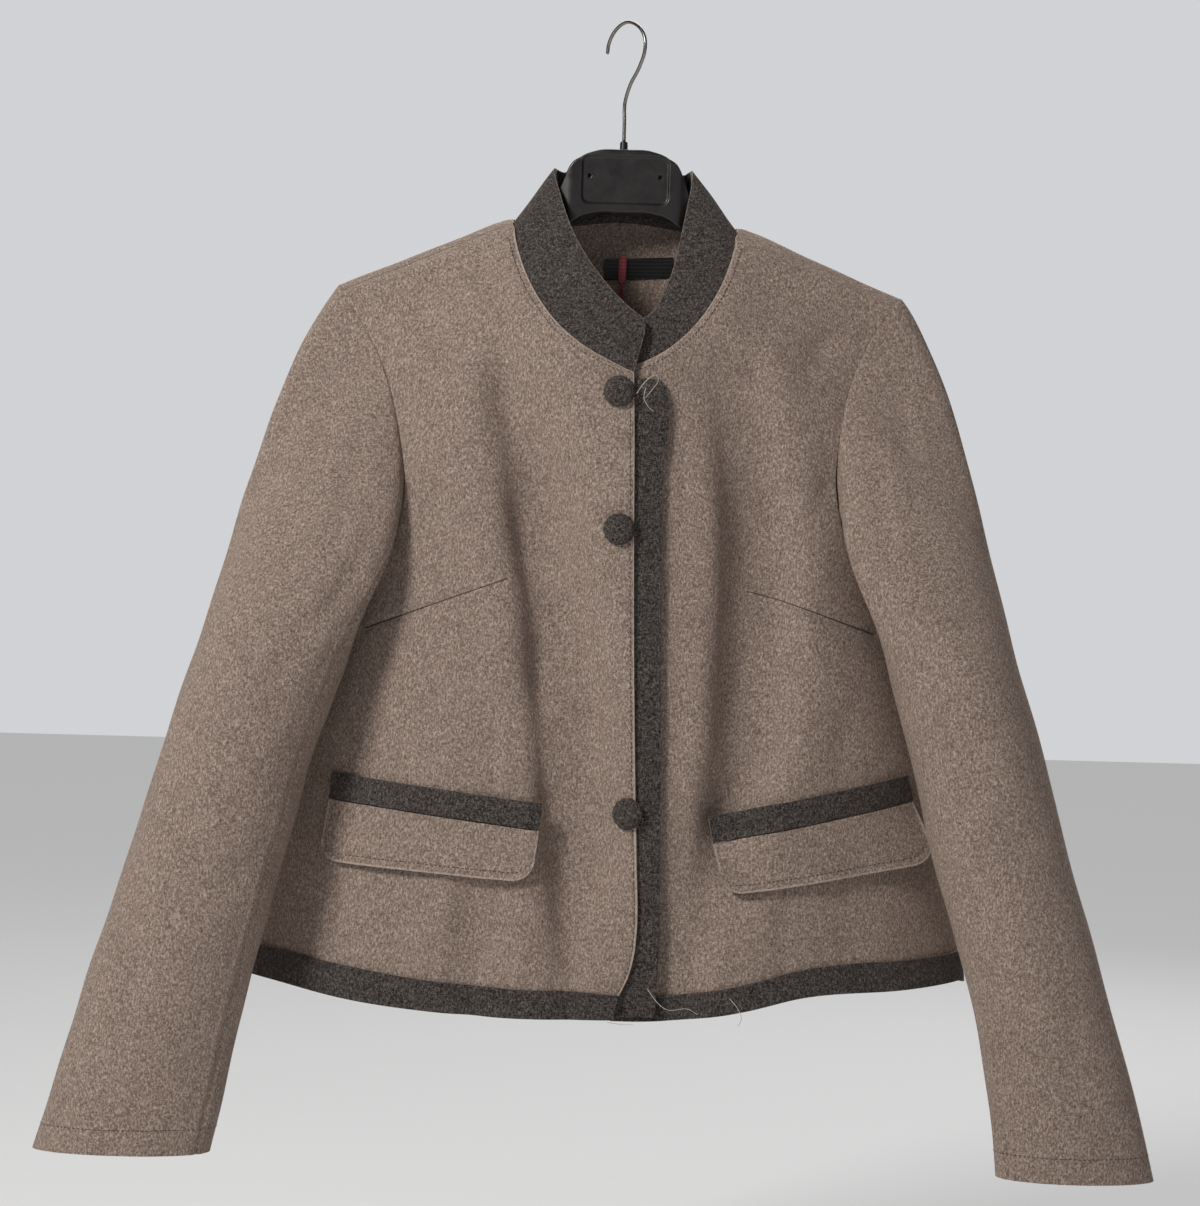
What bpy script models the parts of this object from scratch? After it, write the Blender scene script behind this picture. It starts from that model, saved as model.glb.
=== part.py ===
"""A short felt jacket with charcoal trims, hanging on a black clothes hanger.

Lengths in the tables are millimetres. X runs across the jacket, Y from the front to the back, Z up, and
the origin is the inner crest of the hook. The wearer's right is the -X side, and that front laps over.
The body is one surface: an angle turns round it, and a reach runs down from the shoulder ridge, negative
on the front and positive on the back. Every panel is a patch of it, and every trim is made from its points.
"""

import bpy
import numpy as np

MM = 0.001
WALL = 2.2
COLLAR_WALL = 2.6
COLLAR_GAP = 1.4
ARMHOLE_GAP = 1.6
SLEEVE_PROUD = 4.0
TRIM_WALL = 2.0
GAP = 0.5
SEAM_HALF_GAP = 0.5
SEAM_TURN = 0.0075

RIDGE_TOP = -116.0
RIDGE_SLOPE = 0.43
RIDGE_BLEND = 20.0
RIDGE_Y = -5.0
SIDE_Y = 8.0
SHOULDER_ROUND = 14.0
NECK_ROUND = 8.0
FILL_DEPTH = 180.0
SECTION_POWER = 1.1
SEAM_REACH = 11.5
UNDERLAP = 8.2
UNDERLAP_HEM = 3.6
BAND_GAP = 0.9

# Down from the crest, half width, depth of the front, depth of the back.
BODY_ROWS = (
    (100, 206, 85, 50),
    (300, 206, 85, 50),
    (415, 206, 86, 50),
    (490, 222, 87, 52),
    (600, 245, 89, 55),
    (720, 266, 90, 58),
)

# Neck opening of each side: centre, half width, drop below the ridge in front and behind.
NECK = {
    -1: {"centre": 13.0, "half": 91.0, "front": 139.5, "back": 20.0, "power": 1.6},
    1: {"centre": -5.0, "half": 88.0, "front": 139.5, "back": 20.0, "power": 1.6},
}
NECK_BACK_POWER = 1.4

# Troughs of the fronts. Path: down, x. Then depth, width to the -X side and to the +X side, fades.
TROUGHS = (
    {
        "path": ((215, -72), (312, -53), (386, -37), (436, -28), (528, -15), (598, -10), (720, -6)),
        "depth": 19.0, "minus": 24.0, "plus": 20.0, "from": 215, "full": 350, "easing": 590, "to": 690,
    },
    {
        "path": ((215, 86), (308, 101), (357, 109), (412, 112), (468, 111), (525, 103), (567, 91),
            (624, 83), (720, 77)),
        "depth": 19.0, "minus": 25.0, "plus": 19.0, "from": 215, "full": 350, "easing": 560, "to": 680,
    },
    {
        "path": ((480, -78), (560, -74), (720, -80)),
        "depth": 4.5, "minus": 16.0, "plus": 16.0, "from": 470, "full": 520, "easing": 640, "to": 720,
    },
    {
        "path": ((590, -88), (720, -92)),
        "depth": 4.0, "minus": 14.0, "plus": 12.0, "from": 590, "full": 640, "easing": 700, "to": 760,
    },
)

# Soft folds of the back: x at the top, x at the hem, depth, width.
BACK_FOLDS = ((-62, -92, 9.0, 30.0), (58, 96, 8.0, 27.0), (-150, -176, 5.0, 22.0), (148, 172, 6.0, 24.0))

# Front edge of each front: down, x.
FRONT_EDGE = {
    -1: ((250, 11), (300, 12.6), (400, 15), (528, 19.3), (600, 22.5), (645, 24), (662, 22.5),
        (678, 18.5), (690, 13), (712, 8)),
    1: ((250, -4), (300, -7), (400, -8), (528, -4), (600, 0), (645, 2), (662, 3), (678, 4),
        (690, 5), (712, 6)),
}

# Hem of each panel: x outwards from the middle, down.
HEM = {
    -1: ((-30, 704.5), (80, 705.5), (188, 698), (235, 691), (266, 688)),
    1: ((-30, 706.5), (44, 706), (99, 698), (141, 689), (216, 685.5), (266, 682)),
    0: ((0, 691), (120, 691), (200, 689), (235, 687), (266, 685)),
}

# Armhole of each side from shoulder point to underarm: down, x outwards. The last turns to the side seam.
ARMHOLE_FRONT = {
    -1: ((198.5, 201), (222, 184), (252, 167.5), (300, 153.5), (345, 148.5), (385, 158),
        (406, 178), (418, 206)),
    1: ((199.0, 198), (222, 182), (240, 172.5), (294, 158), (330, 156), (372, 164), (402, 182), (418, 206)),
}
# The same behind, as reach over the ridge, x outwards.
ARMHOLE_BACK = (
    (-11.5, 201), (0, 201.5), (12, 199.5), (45, 187), (85, 175), (138, 167), (183, 168.5),
    (213, 179), (226, 192), (229.5, 206),
)
UNDERARM = 418.0
UNDERARM_SHARE = 0.52

# Top edge of each collar half: turn round the neck from the back, x, y, z.
COLLAR_TOP = {
    -1: (
        (0, 0, 21, -100), (30, -20, 20.5, -101), (60, -42, 13, -106), (90, -48.5, -3, -111),
        (110, -38, -25, -146), (130, -25, -38, -172), (150, -8, -48, -195), (165, 6, -54, -209.5),
        (177.2, 19.5, -58, -220),
    ),
    1: (
        (0, 0, 21, -100), (30, 20, 20.5, -101), (60, 43, 13, -106), (90, 49.5, -3, -111),
        (110, 43, -22, -151), (130, 35.5, -35, -185), (150, 23, -45, -212), (165, 8, -47.5, -221),
        (176, -4, -48.5, -226),
    ),
}

# Sleeve sections: down, x outwards, y, half width, half depth.
SLEEVE = {
    -1: (
        (470, 240, -62, 54.5, 43), (522, 256.7, -67, 52.7, 42), (578, 272, -71, 53.5, 41),
        (634, 287, -74, 55, 39),
        (690, 302.3, -76, 56.8, 36), (746, 316, -77.5, 59, 32), (805, 330.5, -78, 61.5, 27),
    ),
    1: (
        (470, 243, -62, 46.5, 43), (522, 258, -67, 46.5, 42), (578, 272, -71, 48, 40),
        (634, 288.5, -74, 47.5, 38),
        (690, 305, -76, 48, 35), (746, 319, -77.5, 50.5, 31), (808, 331, -78, 55, 26),
    ),
}
# Way in which the sleeve leaves the armhole: turn round it, outwards, y, z.
SLEEVE_START = (
    (0, 130, 0, -160), (60, 60, -50, -150), (113, -6, -80, -115), (145, 25, -95, -60), (180, 190, -45, -8),
    (225, 120, 38, -62), (270, 128, 42, -100), (315, 130, 18, -150), (360, 130, 0, -160),
)
SLEEVE_AXIS = (0.29, -0.10, -0.952)
SEAM_FRONT_TURN = 123.0
SEAM_BACK_TURN = 272.0

# Pockets: outer top corner and inner top corner as x, down; heights at the outer and inner end.
POCKETS = {
    -1: {"outer": (-195.0, 561.0), "inner": (-46.8, 577.0), "outer_height": 43.5,
        "inner_height": 36.0, "lift": 0.0},
    1: {"outer": (216.0, 553.5), "inner": (75.0, 583.8), "outer_height": 44.0,
        "inner_height": 37.0, "lift": 7.0},
}
FLAP_CORNER = 14.0
WELT_HEIGHT = 18.8

BUTTONS = {"button_top": (0.9, 270.6), "button_middle": (3.4, 366.5), "button_bottom": (14.8, 563.7)}
BUTTON_GAP = {"button_top": 0.45, "button_middle": 0.45, "button_bottom": 0.45}
BUTTON_RADIUS = 11.0
BUTTON_HEIGHT = 6.5

# Placket band: down, x of its free edge.
PLACKET = ((260.6, 29.5), (264, 32.5), (268, 33.8), (330, 33), (430, 34.5), (560, 37.3),
    (640, 38.8), (688, 37.6), (706, 36.5))
PLACKET_LAP = 4.0

HANGER_X = 1.0
# Hanger: distance from the middle, top, bottom, half depth, y of the middle.
HANGER = (
    (0, -91.6, -138, 9, 0), (20, -92.6, -138.3, 9, 0), (31, -97, -141.5, 9, 0), (40, -105, -147.5, 8.5, 0),
    (44.5, -116, -150, 7, 0), (52, -139.5, -154, 5.5, -1), (82, -154.6, -168, 5, -4),
    (96, -157.3, -173, 5, -5),
    (120, -163.9, -180, 5.5, -5), (160, -180.9, -196, 6.0, -5), (186, -192.1, -206, 6.0, -5),
)
HOOK_TURN = np.radians(50.0)
HOOK_WIRE = 1.3
HOOK = (
    (0, -84.25), (0, -72), (0, -57), (5.2, -45), (15, -33), (20.4, -22), (20.6, -14.5),
    (16.6, -6.8), (9, -1.2), (0, 1.3),
    (-9, -0.9), (-16.2, -6.2), (-20.2, -13), (-21, -18),
)

COLOURS = {
    "loden": (0.150, 0.112, 0.084, 1.0),
    "charcoal": (0.035, 0.031, 0.029, 1.0),
    "label": (0.006, 0.006, 0.007, 1.0),
    "ribbon": (0.22, 0.035, 0.03, 1.0),
    "plastic": (0.008, 0.008, 0.009, 1.0),
    "steel": (0.55, 0.53, 0.50, 1.0),
}


def table(t, rows, column=None):
    """Smooth curve through the rows, whose first column grows."""
    rows = np.asarray(rows, float)
    at, values = rows[:, 0], rows[:, 1:]
    if column is not None:
        values = values[:, column]
    slopes = np.gradient(values, at, axis=0)
    t = np.clip(np.asarray(t, float), at[0], at[-1])
    i = np.clip(np.searchsorted(at, t, side="right") - 1, 0, len(at) - 2)
    step = at[i + 1] - at[i]
    s = (t - at[i]) / step
    if values.ndim > 1:
        step, s = step[..., None], s[..., None]
    ends = (1 + 2 * s) * (1 - s) ** 2 * values[i] + s * s * (3 - 2 * s) * values[i + 1]
    return ends + s * (1 - s) ** 2 * step * slopes[i] + s * s * (s - 1) * step * slopes[i + 1]


def ease(t, low, high):
    s = np.clip((t - low) / (high - low), 0, 1)
    return s * s * (3 - 2 * s)


def signed_power(value, power):
    return np.sign(value) * np.abs(value) ** power


def ridge_z(x):
    return RIDGE_TOP - RIDGE_SLOPE * (np.sqrt(x * x + RIDGE_BLEND**2) - RIDGE_BLEND)


def ridge_round(x):
    return SHOULDER_ROUND + NECK_ROUND * np.exp(-((x / 50.0) ** 2))


def drop_of(reach, r):
    """Height lost below the ridge after going this far over it and down."""
    away = np.abs(reach)
    round_part = r * (1 - np.cos(np.minimum(away / r, np.pi / 2)))
    return np.where(away < r * np.pi / 2, round_part, away - r * (np.pi / 2 - 1))


def reach_of(drop, r):
    drop = np.maximum(drop, 0)
    return np.where(drop < r, r * np.arccos(np.clip(1 - drop / r, -1, 1)), drop + r * (np.pi / 2 - 1))


def front_troughs(x, down):
    total = np.zeros(np.broadcast(x, down).shape)
    for row in TROUGHS:
        away = x - table(down, row["path"], 0)
        width = np.where(away < 0, row["minus"], row["plus"])
        grown = ease(down, row["from"], row["full"]) * (1 - ease(down, row["easing"], row["to"]))
        total = total + row["depth"] * grown * np.exp(-((away / width) ** 2))
    return total


def back_folds(x, down):
    total = np.zeros(np.broadcast(x, down).shape)
    for top, hem, depth, width in BACK_FOLDS:
        centre = top + (hem - top) * (down - 300) / 400
        total = total + depth * ease(down, 260, 620) * np.exp(-(((x - centre) / width) ** 2))
    return total


def body(turn, reach, under=False, folds=1.0):
    """Point of the body's outer face: the turn round it in radians, the reach over the ridge."""
    turn, reach = np.broadcast_arrays(np.asarray(turn, float), np.asarray(reach, float))
    x = 206.0 * np.sin(turn)
    for _ in range(5):
        r = ridge_round(x)
        drop = drop_of(reach, r)
        down = drop - ridge_z(x)
        half, front, back = np.moveaxis(table(down, BODY_ROWS), -1, 0)
        x = half * np.sin(turn)
    behind = reach > 0
    side = np.where(behind, 1.0, -1.0)
    depth = np.where(behind, back, front)
    fill = np.sin(np.pi / 2 * np.clip(drop / FILL_DEPTH, 0, 1))
    inward = np.where(behind, back_folds(x, down), front_troughs(x, down)) * folds
    if under:
        sunk = UNDERLAP + UNDERLAP_HEM * ease(down, 590, 675)
        inward = inward + np.where(behind, 0, sunk * (1 - ease(x, 42, 85)))
    full = SIDE_Y + side * (depth * signed_power(np.cos(turn), SECTION_POWER) - inward)
    round_part = RIDGE_Y + side * r * np.sin(np.minimum(np.abs(reach) / r, np.pi / 2))
    y = (1 - fill) * round_part + fill * full
    return np.stack([x, y, -down], axis=-1)


def body_normal(turn, reach, under=False, folds=1.0):
    step = 0.002
    across = body(turn + step, reach, under, folds) - body(turn - step, reach, under, folds)
    reach_step = 0.4
    along = body(turn, reach + reach_step, under, folds) - body(turn, reach - reach_step, under, folds)
    normal = np.cross(across, along)
    return normal / np.linalg.norm(normal, axis=-1, keepdims=True)


def lifted(turn, reach, lift, under=False, folds=1.0):
    lift = np.asarray(lift, float)
    if lift.ndim:
        lift = lift[..., None]
    return body(turn, reach, under, folds) + lift * body_normal(turn, reach, under, folds)


def place(x, down, behind=False):
    """Turn and reach of the point of the front, or of the back, with this x and this far down."""
    x, down = np.broadcast_arrays(np.asarray(x, float), np.asarray(down, float))
    half = table(down, BODY_ROWS, 0)
    turn = np.arcsin(np.clip(x / half, -1, 1))
    reach = reach_of(down + ridge_z(x), ridge_round(x))
    return turn, (reach if behind else -reach)


def neck(turn_round, side, out=0.0):
    """Turn and reach of the neck edge. The turn round the neck is 0 at the back and 180 degrees in front."""
    row = NECK[side]
    angle = np.radians(np.asarray(turn_round, float))
    s, c = np.abs(np.sin(angle)), np.cos(angle)
    reach_side = abs(row["centre"] + side * row["half"])
    back = c >= 0
    power = 2 / np.where(back, NECK_BACK_POWER, row["power"])
    x_back = side * (reach_side + out) * s**power
    x_front = row["centre"] + side * (row["half"] + out) * s**power
    x = np.where(back, x_back, x_front)
    deep = np.where(back, row["back"], row["front"]) + out
    drop = deep * np.abs(c) ** power
    reach = reach_of(drop, ridge_round(x))
    turn = np.arcsin(np.clip(x / 206.0, -1, 1))
    return turn, np.where(back, reach, -reach)


def solid_of(name, outer, inner, material, middle=None):
    """Closed body between two grids of points of one shape, split along the diagonal nearer the middle points."""
    rows, columns = outer.shape[:2]
    count = rows * columns
    points = np.concatenate([outer.reshape(-1, 3), inner.reshape(-1, 3)])
    index = np.arange(count).reshape(rows, columns)
    a, b, c, d = index[:-1, :-1], index[1:, :-1], index[1:, 1:], index[:-1, 1:]
    turned = np.zeros(a.shape, bool)
    if middle is not None:
        first = np.linalg.norm((outer[:-1, :-1] + outer[1:, 1:]) / 2 - middle, axis=-1)
        second = np.linalg.norm((outer[1:, :-1] + outer[:-1, 1:]) / 2 - middle, axis=-1)
        turned = second < first
    one = np.where(turned[..., None], np.stack([a, b, d], -1), np.stack([a, b, c], -1))
    two = np.where(turned[..., None], np.stack([b, c, d], -1), np.stack([a, c, d], -1))
    sheet = np.concatenate([one.reshape(-1, 3), two.reshape(-1, 3)])
    faces = [sheet, sheet[:, ::-1] + count]
    borders = [index[0], index[-1][::-1], index[:, -1], index[:, 0][::-1]]
    for line in borders:
        p, q = line[:-1], line[1:]
        faces.append(np.stack([p, q, q + count], -1))
        faces.append(np.stack([p, q + count, p + count], -1))
    return add_mesh(name, points, np.concatenate(faces), material)


def add_mesh(name, points, faces, material):
    corners = points[faces]
    volume = np.einsum("ij,ij->i", corners[:, 0], np.cross(corners[:, 1], corners[:, 2])).sum()
    if volume < 0:
        faces = faces[:, ::-1]
    mesh = bpy.data.meshes.new(name)
    mesh.from_pydata((points * MM).tolist(), [], faces.tolist())
    mesh.update()
    made = bpy.data.objects.new(name, mesh)
    bpy.context.collection.objects.link(made)
    give_material(made, material)
    return made


def give_material(made, kind):
    material = bpy.data.materials.new(made.name)
    material.use_nodes = True
    shader = material.node_tree.nodes["Principled BSDF"]
    shader.inputs["Base Color"].default_value = COLOURS[kind]
    shader.inputs["Roughness"].default_value = 0.3 if kind in ("plastic", "steel") else 0.95
    shader.inputs["Metallic"].default_value = 1.0 if kind == "steel" else 0.0
    made.data.materials.append(material)


def coons(top, bottom, start, end, u, v):
    """Patch between four edges, each a function from 0 to 1. Rows follow v and columns u."""
    u_row, v_row = u[None, :, None], v[:, None, None]
    both = np.array([0.0, 1.0])
    first, last = start(both), end(both)
    corners = (1 - u_row) * (1 - v_row) * first[0] + u_row * (1 - v_row) * last[0]
    corners = corners + (1 - u_row) * v_row * first[1] + u_row * v_row * last[1]
    sides = (1 - v_row) * top(u)[None] + v_row * bottom(u)[None]
    return sides + (1 - u_row) * start(v)[:, None] + u_row * end(v)[:, None] - corners


def steps(*parts):
    """Values from 0 to 1 out of (end, number of steps) pairs."""
    values = [0.0]
    for end, number in parts:
        values += list(np.linspace(values[-1], end, number + 1)[1:])
    return np.array(values)


def pair(turn_and_reach):
    return np.stack(np.broadcast_arrays(*turn_and_reach), axis=-1)


BAND_SHARE = 0.034
FRONT_U = steps((0.04, 1), (0.5, 12), (1.0, 11))
FRONT_V = steps((UNDERARM_SHARE, 13), (1 - BAND_SHARE, 11), (1.0, 2))
NECK_END = {-1: 177.2, 1: 176.0}
NECK_SIDE = 96.4


def front_patch(side, u, v):
    """Turn and reach of a front, from its free edge to the side seam and from the top edge to the hem."""
    side_turn = side * (np.pi / 2 - SEAM_TURN)

    def top(u):
        along = np.clip(u / 0.5, 0, 1)
        ring = pair(neck(NECK_END[side] + (NECK_SIDE - NECK_END[side]) * along, side))
        x_side = neck(NECK_SIDE, side)[0]
        x_tip = np.arcsin(side * ARMHOLE_FRONT[side][0][1] / 206.0)
        beyond = np.clip((u - 0.5) / 0.5, 0, 1)
        seam = -(SEAM_REACH + SEAM_HALF_GAP)
        shoulder = np.stack([x_side + (x_tip - x_side) * beyond, np.full(len(u), seam)], -1)
        ring[:, 1] = np.minimum(ring[:, 1], seam)
        return np.where((u <= 0.5)[:, None], ring, shoulder)

    def hem(u):
        edge = table(712, FRONT_EDGE[side], 0)
        turn_edge = np.arcsin(edge / 264.0)
        turn = turn_edge + (side_turn - turn_edge) * u
        down = table(side * 264.0 * np.sin(turn), HEM[side], 0)
        return pair((turn, place(side * np.abs(264.0 * np.sin(turn)), down)[1]))

    def edge(v):
        start_down = -body(*neck(NECK_END[side], side))[2]
        end_down = table(side * table(712, FRONT_EDGE[side], 0), HEM[side], 0)
        down = start_down + (end_down - start_down) * v
        return pair(place(table(down, FRONT_EDGE[side], 0), down))

    def outside(v):
        return pair(side_edge(side, v, False))

    grid = coons(top, hem, edge, outside, u, v)
    return grid[..., 0], grid[..., 1]


def walk(rows, share):
    """Values of the rows at a share of the length of the line through them."""
    rows = np.asarray(rows, float)
    length = np.concatenate([[0], np.cumsum(np.hypot(*np.diff(rows, axis=0).T))])
    return table(share * length[-1], np.column_stack([length, rows]))


def side_edge(side, v, behind):
    """Armhole from the shoulder point, then the side seam to the hem, as turn and reach."""
    share = np.clip(v / UNDERARM_SHARE, 0, 1)
    if behind:
        along = walk(ARMHOLE_BACK, share)
        reach, x = along[:, 0], along[:, 1]
        turn = np.arcsin(np.clip(side * x / 206.0, -1, 1))
    else:
        along = walk(ARMHOLE_FRONT[side], share)
        turn, reach = place(side * along[:, 1], along[:, 0])
    seam_turn = side * (np.pi / 2 - SEAM_TURN)
    turn = np.where(np.abs(turn) > abs(seam_turn), seam_turn, turn)
    seam_share = np.clip((v - UNDERARM_SHARE) / (1 - UNDERARM_SHARE), 0, 1)
    down = UNDERARM + (table(264.0, HEM[0 if behind else side], 0) - UNDERARM) * seam_share
    x = table(down, BODY_ROWS, 0)
    seam_reach = place(side * x, down, behind)[1]
    below = v > UNDERARM_SHARE
    return np.where(below, seam_turn, turn), np.where(below, seam_reach, reach)


def back_patch(u, v):
    """Turn and reach of the back, from one side to the other and from the shoulders to the hem."""
    side_turn = np.pi / 2 - SEAM_TURN

    def top(u):
        across = u * 2 - 1
        away = np.abs(across)
        side = np.where(across < 0, -1, 1)
        seam = -(SEAM_REACH - SEAM_HALF_GAP)
        out = np.zeros((len(u), 2))
        for s in (-1, 1):
            tip = np.arcsin(ARMHOLE_BACK[0][1] / 206.0)
            neck_turn, neck_reach = neck(NECK_SIDE * np.clip(away / 0.45, 0, 1), s)
            neck_reach = np.maximum(neck_reach, seam)
            corner = abs(neck(NECK_SIDE, s)[0])
            shoulder = corner + (tip - corner) * np.clip((away - 0.45) / 0.55, 0, 1)
            turn = np.where(away <= 0.45, np.abs(neck_turn), shoulder) * s
            reach = np.where(away <= 0.45, neck_reach, seam)
            out = np.where((side == s)[:, None], np.stack([turn, reach], -1), out)
        return out

    def hem(u):
        turn = (u * 2 - 1) * side_turn
        x = 264.0 * np.sin(turn)
        return pair((turn, place(x, table(np.abs(x), HEM[0], 0), True)[1]))

    def edge(side):
        return lambda v: pair(side_edge(side, v, True))

    grid = coons(top, hem, edge(-1), edge(1), u, v)
    return grid[..., 0], grid[..., 1]


def centres(grid):
    return (grid[:-1, :-1] + grid[1:, :-1] + grid[1:, 1:] + grid[:-1, 1:]) / 4


def panel(name, turn, reach, low, high, material, under=False):
    """Closed piece of the body's surface between two distances from it."""
    middle = lifted(centres(turn), centres(reach), high, under)
    solid_of(name, lifted(turn, reach, high, under), lifted(turn, reach, low, under), material, middle)


def relaxed(turn, reach, kept=3, rounds=1500):
    """The same patch with its inner points moved until no cell folds over another.

    The last rows stay as they are, so that a hem band keeps its height.
    """
    whole = np.stack([turn * 206.0, reach], -1)
    part = whole[: len(whole) - kept]
    for _ in range(rounds):
        across = (part[1:-1, 2:] - part[1:-1, :-2]) / 2
        along = (part[2:, 1:-1] - part[:-2, 1:-1]) / 2
        mixed = (part[2:, 2:] - part[2:, :-2] - part[:-2, 2:] + part[:-2, :-2]) / 4
        a = np.sum(along * along, -1, keepdims=True)
        b = np.sum(across * along, -1, keepdims=True)
        c = np.sum(across * across, -1, keepdims=True)
        sides = a * (part[1:-1, 2:] + part[1:-1, :-2]) + c * (part[2:, 1:-1] + part[:-2, 1:-1])
        part[1:-1, 1:-1] += 0.7 * ((sides - 2 * b * mixed) / (2 * (a + c)) - part[1:-1, 1:-1])
    return whole[..., 0] / 206.0, whole[..., 1]


def smooth_patch(patch, u, v):
    """Turn and reach of a patch at these shares, from a grid without folds, with its edges kept exact."""
    even_u, even_v = np.linspace(0, 1, 41), np.linspace(0, 1, 61)
    turn, reach = relaxed(*patch(even_u, even_v))
    exact = patch(u, v)
    found = []
    for even, edges in zip((turn, reach), exact):
        rows = table(v, np.column_stack([even_v, even]))
        made = table(u, np.column_stack([even_u, rows.T])).T
        made[0], made[-1], made[:, 0], made[:, -1] = edges[0], edges[-1], edges[:, 0], edges[:, -1]
        found.append(made)
    return found


def build_fronts():
    for side, name in ((-1, "front_right"), (1, "front_left")):
        turn, reach = smooth_patch(lambda u, v: front_patch(side, u, v), FRONT_U, FRONT_V)
        panel(name, turn, reach, -WALL, 0.0, "loden", side > 0)


NECK_TURNS = np.array([0, 16, 32, 46, 58, 68, 76, 82, 87, 91.5, NECK_SIDE])
BACK_HALF = np.concatenate([0.45 * NECK_TURNS / NECK_SIDE, np.linspace(0.45, 1.0, 9)[1:]])
BACK_U = 0.5 + 0.5 * np.concatenate([-BACK_HALF[:0:-1], BACK_HALF])
BACK_TOP_V = [0.0, 0.012, 0.024, 0.04, 0.065, 0.1]
BACK_V = np.concatenate([BACK_TOP_V, steps((UNDERARM_SHARE, 8), (1 - BAND_SHARE, 8), (1.0, 2))[2:]])


def build_back():
    turn, reach = smooth_patch(back_patch, BACK_U, BACK_V)
    panel("back", turn, reach, -WALL, 0.0, "loden")


def armhole_ring(side, turns):
    """Turn and reach round the armhole: 0 at the shoulder seam, through the front to 180 at the underarm."""
    share = np.asarray(turns, float) / 180.0
    front = side_edge(side, np.clip(share, 0, 1) * UNDERARM_SHARE, False)
    back = side_edge(side, np.clip(2 - share, 0, 1) * UNDERARM_SHARE, True)
    behind = share > 1
    return np.where(behind, back[0], front[0]), np.where(behind, back[1], front[1])


def sleeve_points(side, turns, rows_cap, rows_arm):
    """Outer points and normals of the sleeve tube at these turns, from the armhole to the cuff."""
    ring_turn, ring_reach = armhole_ring(side, turns)
    start = body(ring_turn, ring_reach)
    normal = body_normal(ring_turn, ring_reach)
    ahead = body(*armhole_ring(side, (turns + 0.8) % 360)) - body(*armhole_ring(side, (turns - 0.8) % 360))
    out = np.cross(normal, ahead)
    out = out / np.linalg.norm(out, axis=-1, keepdims=True)
    out = out * np.sign(np.sum(out * (np.array([side * 230.0, -10.0, -320.0]) - start), -1, keepdims=True))
    proud = SLEEVE_PROUD * np.sin(np.radians(turns) / 2)
    start = start + ARMHOLE_GAP * out + proud[:, None] * normal

    angle = np.radians(turns + 35.0 * np.sin(np.radians(turns) / 2) ** 2)

    def section(down):
        x, y, half_x, half_y = np.moveaxis(table(down, SLEEVE[side]), -1, 0)
        px = side * (x + half_x * np.cos(angle))
        py = y - half_y * np.sin(angle)
        return np.stack([px, py, np.full(px.shape, -down)], -1)

    first = SLEEVE[side][0][0]
    last = SLEEVE[side][-1][0]
    end = section(first)
    leave = table(turns, SLEEVE_START) * np.array([side, 1, 1])
    chord = np.linalg.norm(end - start, axis=-1, keepdims=True)
    arrive = np.array(SLEEVE_AXIS) * np.array([side, 1, 1]) * chord
    grid = []
    for s in rows_cap:
        ends = (1 + 2 * s) * (1 - s) ** 2 * start + s * s * (3 - 2 * s) * end
        grid.append(ends + s * (1 - s) ** 2 * leave + s * s * (s - 1) * arrive)
    for s in rows_arm:
        grid.append(section(first + (last - first) * s))
    return np.array(grid), normal


def grid_normal(points, across, outward):
    normal = np.cross(across, np.gradient(points, axis=0))
    normal = normal / np.linalg.norm(normal, axis=-1, keepdims=True)
    return normal * (1 if np.sum(normal * outward) > 0 else -1)


CAP_ROWS = (0, 0.05, 0.12, 0.22, 0.35, 0.5, 0.65, 0.82, 1.0)
ARM_ROWS = (0.14, 0.3, 0.47, 0.64, 0.81, 1.0)
UPPER_TURNS = np.linspace(SEAM_BACK_TURN - 360 + 0.55, SEAM_FRONT_TURN - 0.55, 17)
UNDER_TURNS = np.array([SEAM_FRONT_TURN + 0.55, 137, 150, 161, 171, 180, 187, 196, 208, 222, 238,
    255, SEAM_BACK_TURN - 0.55])


def build_sleeves():
    for side, word in ((-1, "right"), (1, "left")):
        for kind, turns in (("upper", UPPER_TURNS), ("under", UNDER_TURNS)):
            points, edge_normal = sleeve_points(side, turns % 360, CAP_ROWS, ARM_ROWS)
            after = sleeve_points(side, (turns + 1) % 360, CAP_ROWS, ARM_ROWS)[0]
            before = sleeve_points(side, (turns - 1) % 360, CAP_ROWS, ARM_ROWS)[0]
            facing = 1.0 if kind == "upper" else -1.0
            normal = grid_normal(points, after - before, facing * np.array([side, -0.4, 0.3]))
            normal[0] = normal[0] + 0.35 * edge_normal
            normal[1:-1] = (normal[:-2] + 2 * normal[1:-1] + normal[2:]) / 4
            normal = normal / np.linalg.norm(normal, axis=-1, keepdims=True)
            solid_of(f"sleeve_{kind}_{word}", points, points - WALL * normal, "loden")


def build_collar():
    shared = [0, 18, 36, 50, 62, 71, 78, 83.5, 88, 92.5, 97, 103, 111, 122, 134, 146, 157, 165]
    left = collar_points(1, np.array(shared + [171, 176.0]))
    right = collar_points(-1, np.array(shared + [171, 174.5, 176.2, 177.2]))
    points = np.concatenate([left[:, :0:-1], right], axis=1)
    normal = grid_normal(points, np.gradient(points, axis=1), points - np.array([0, -10.0, -150.0]))
    solid_of("collar", points, points - COLLAR_WALL * normal, "charcoal")


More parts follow.
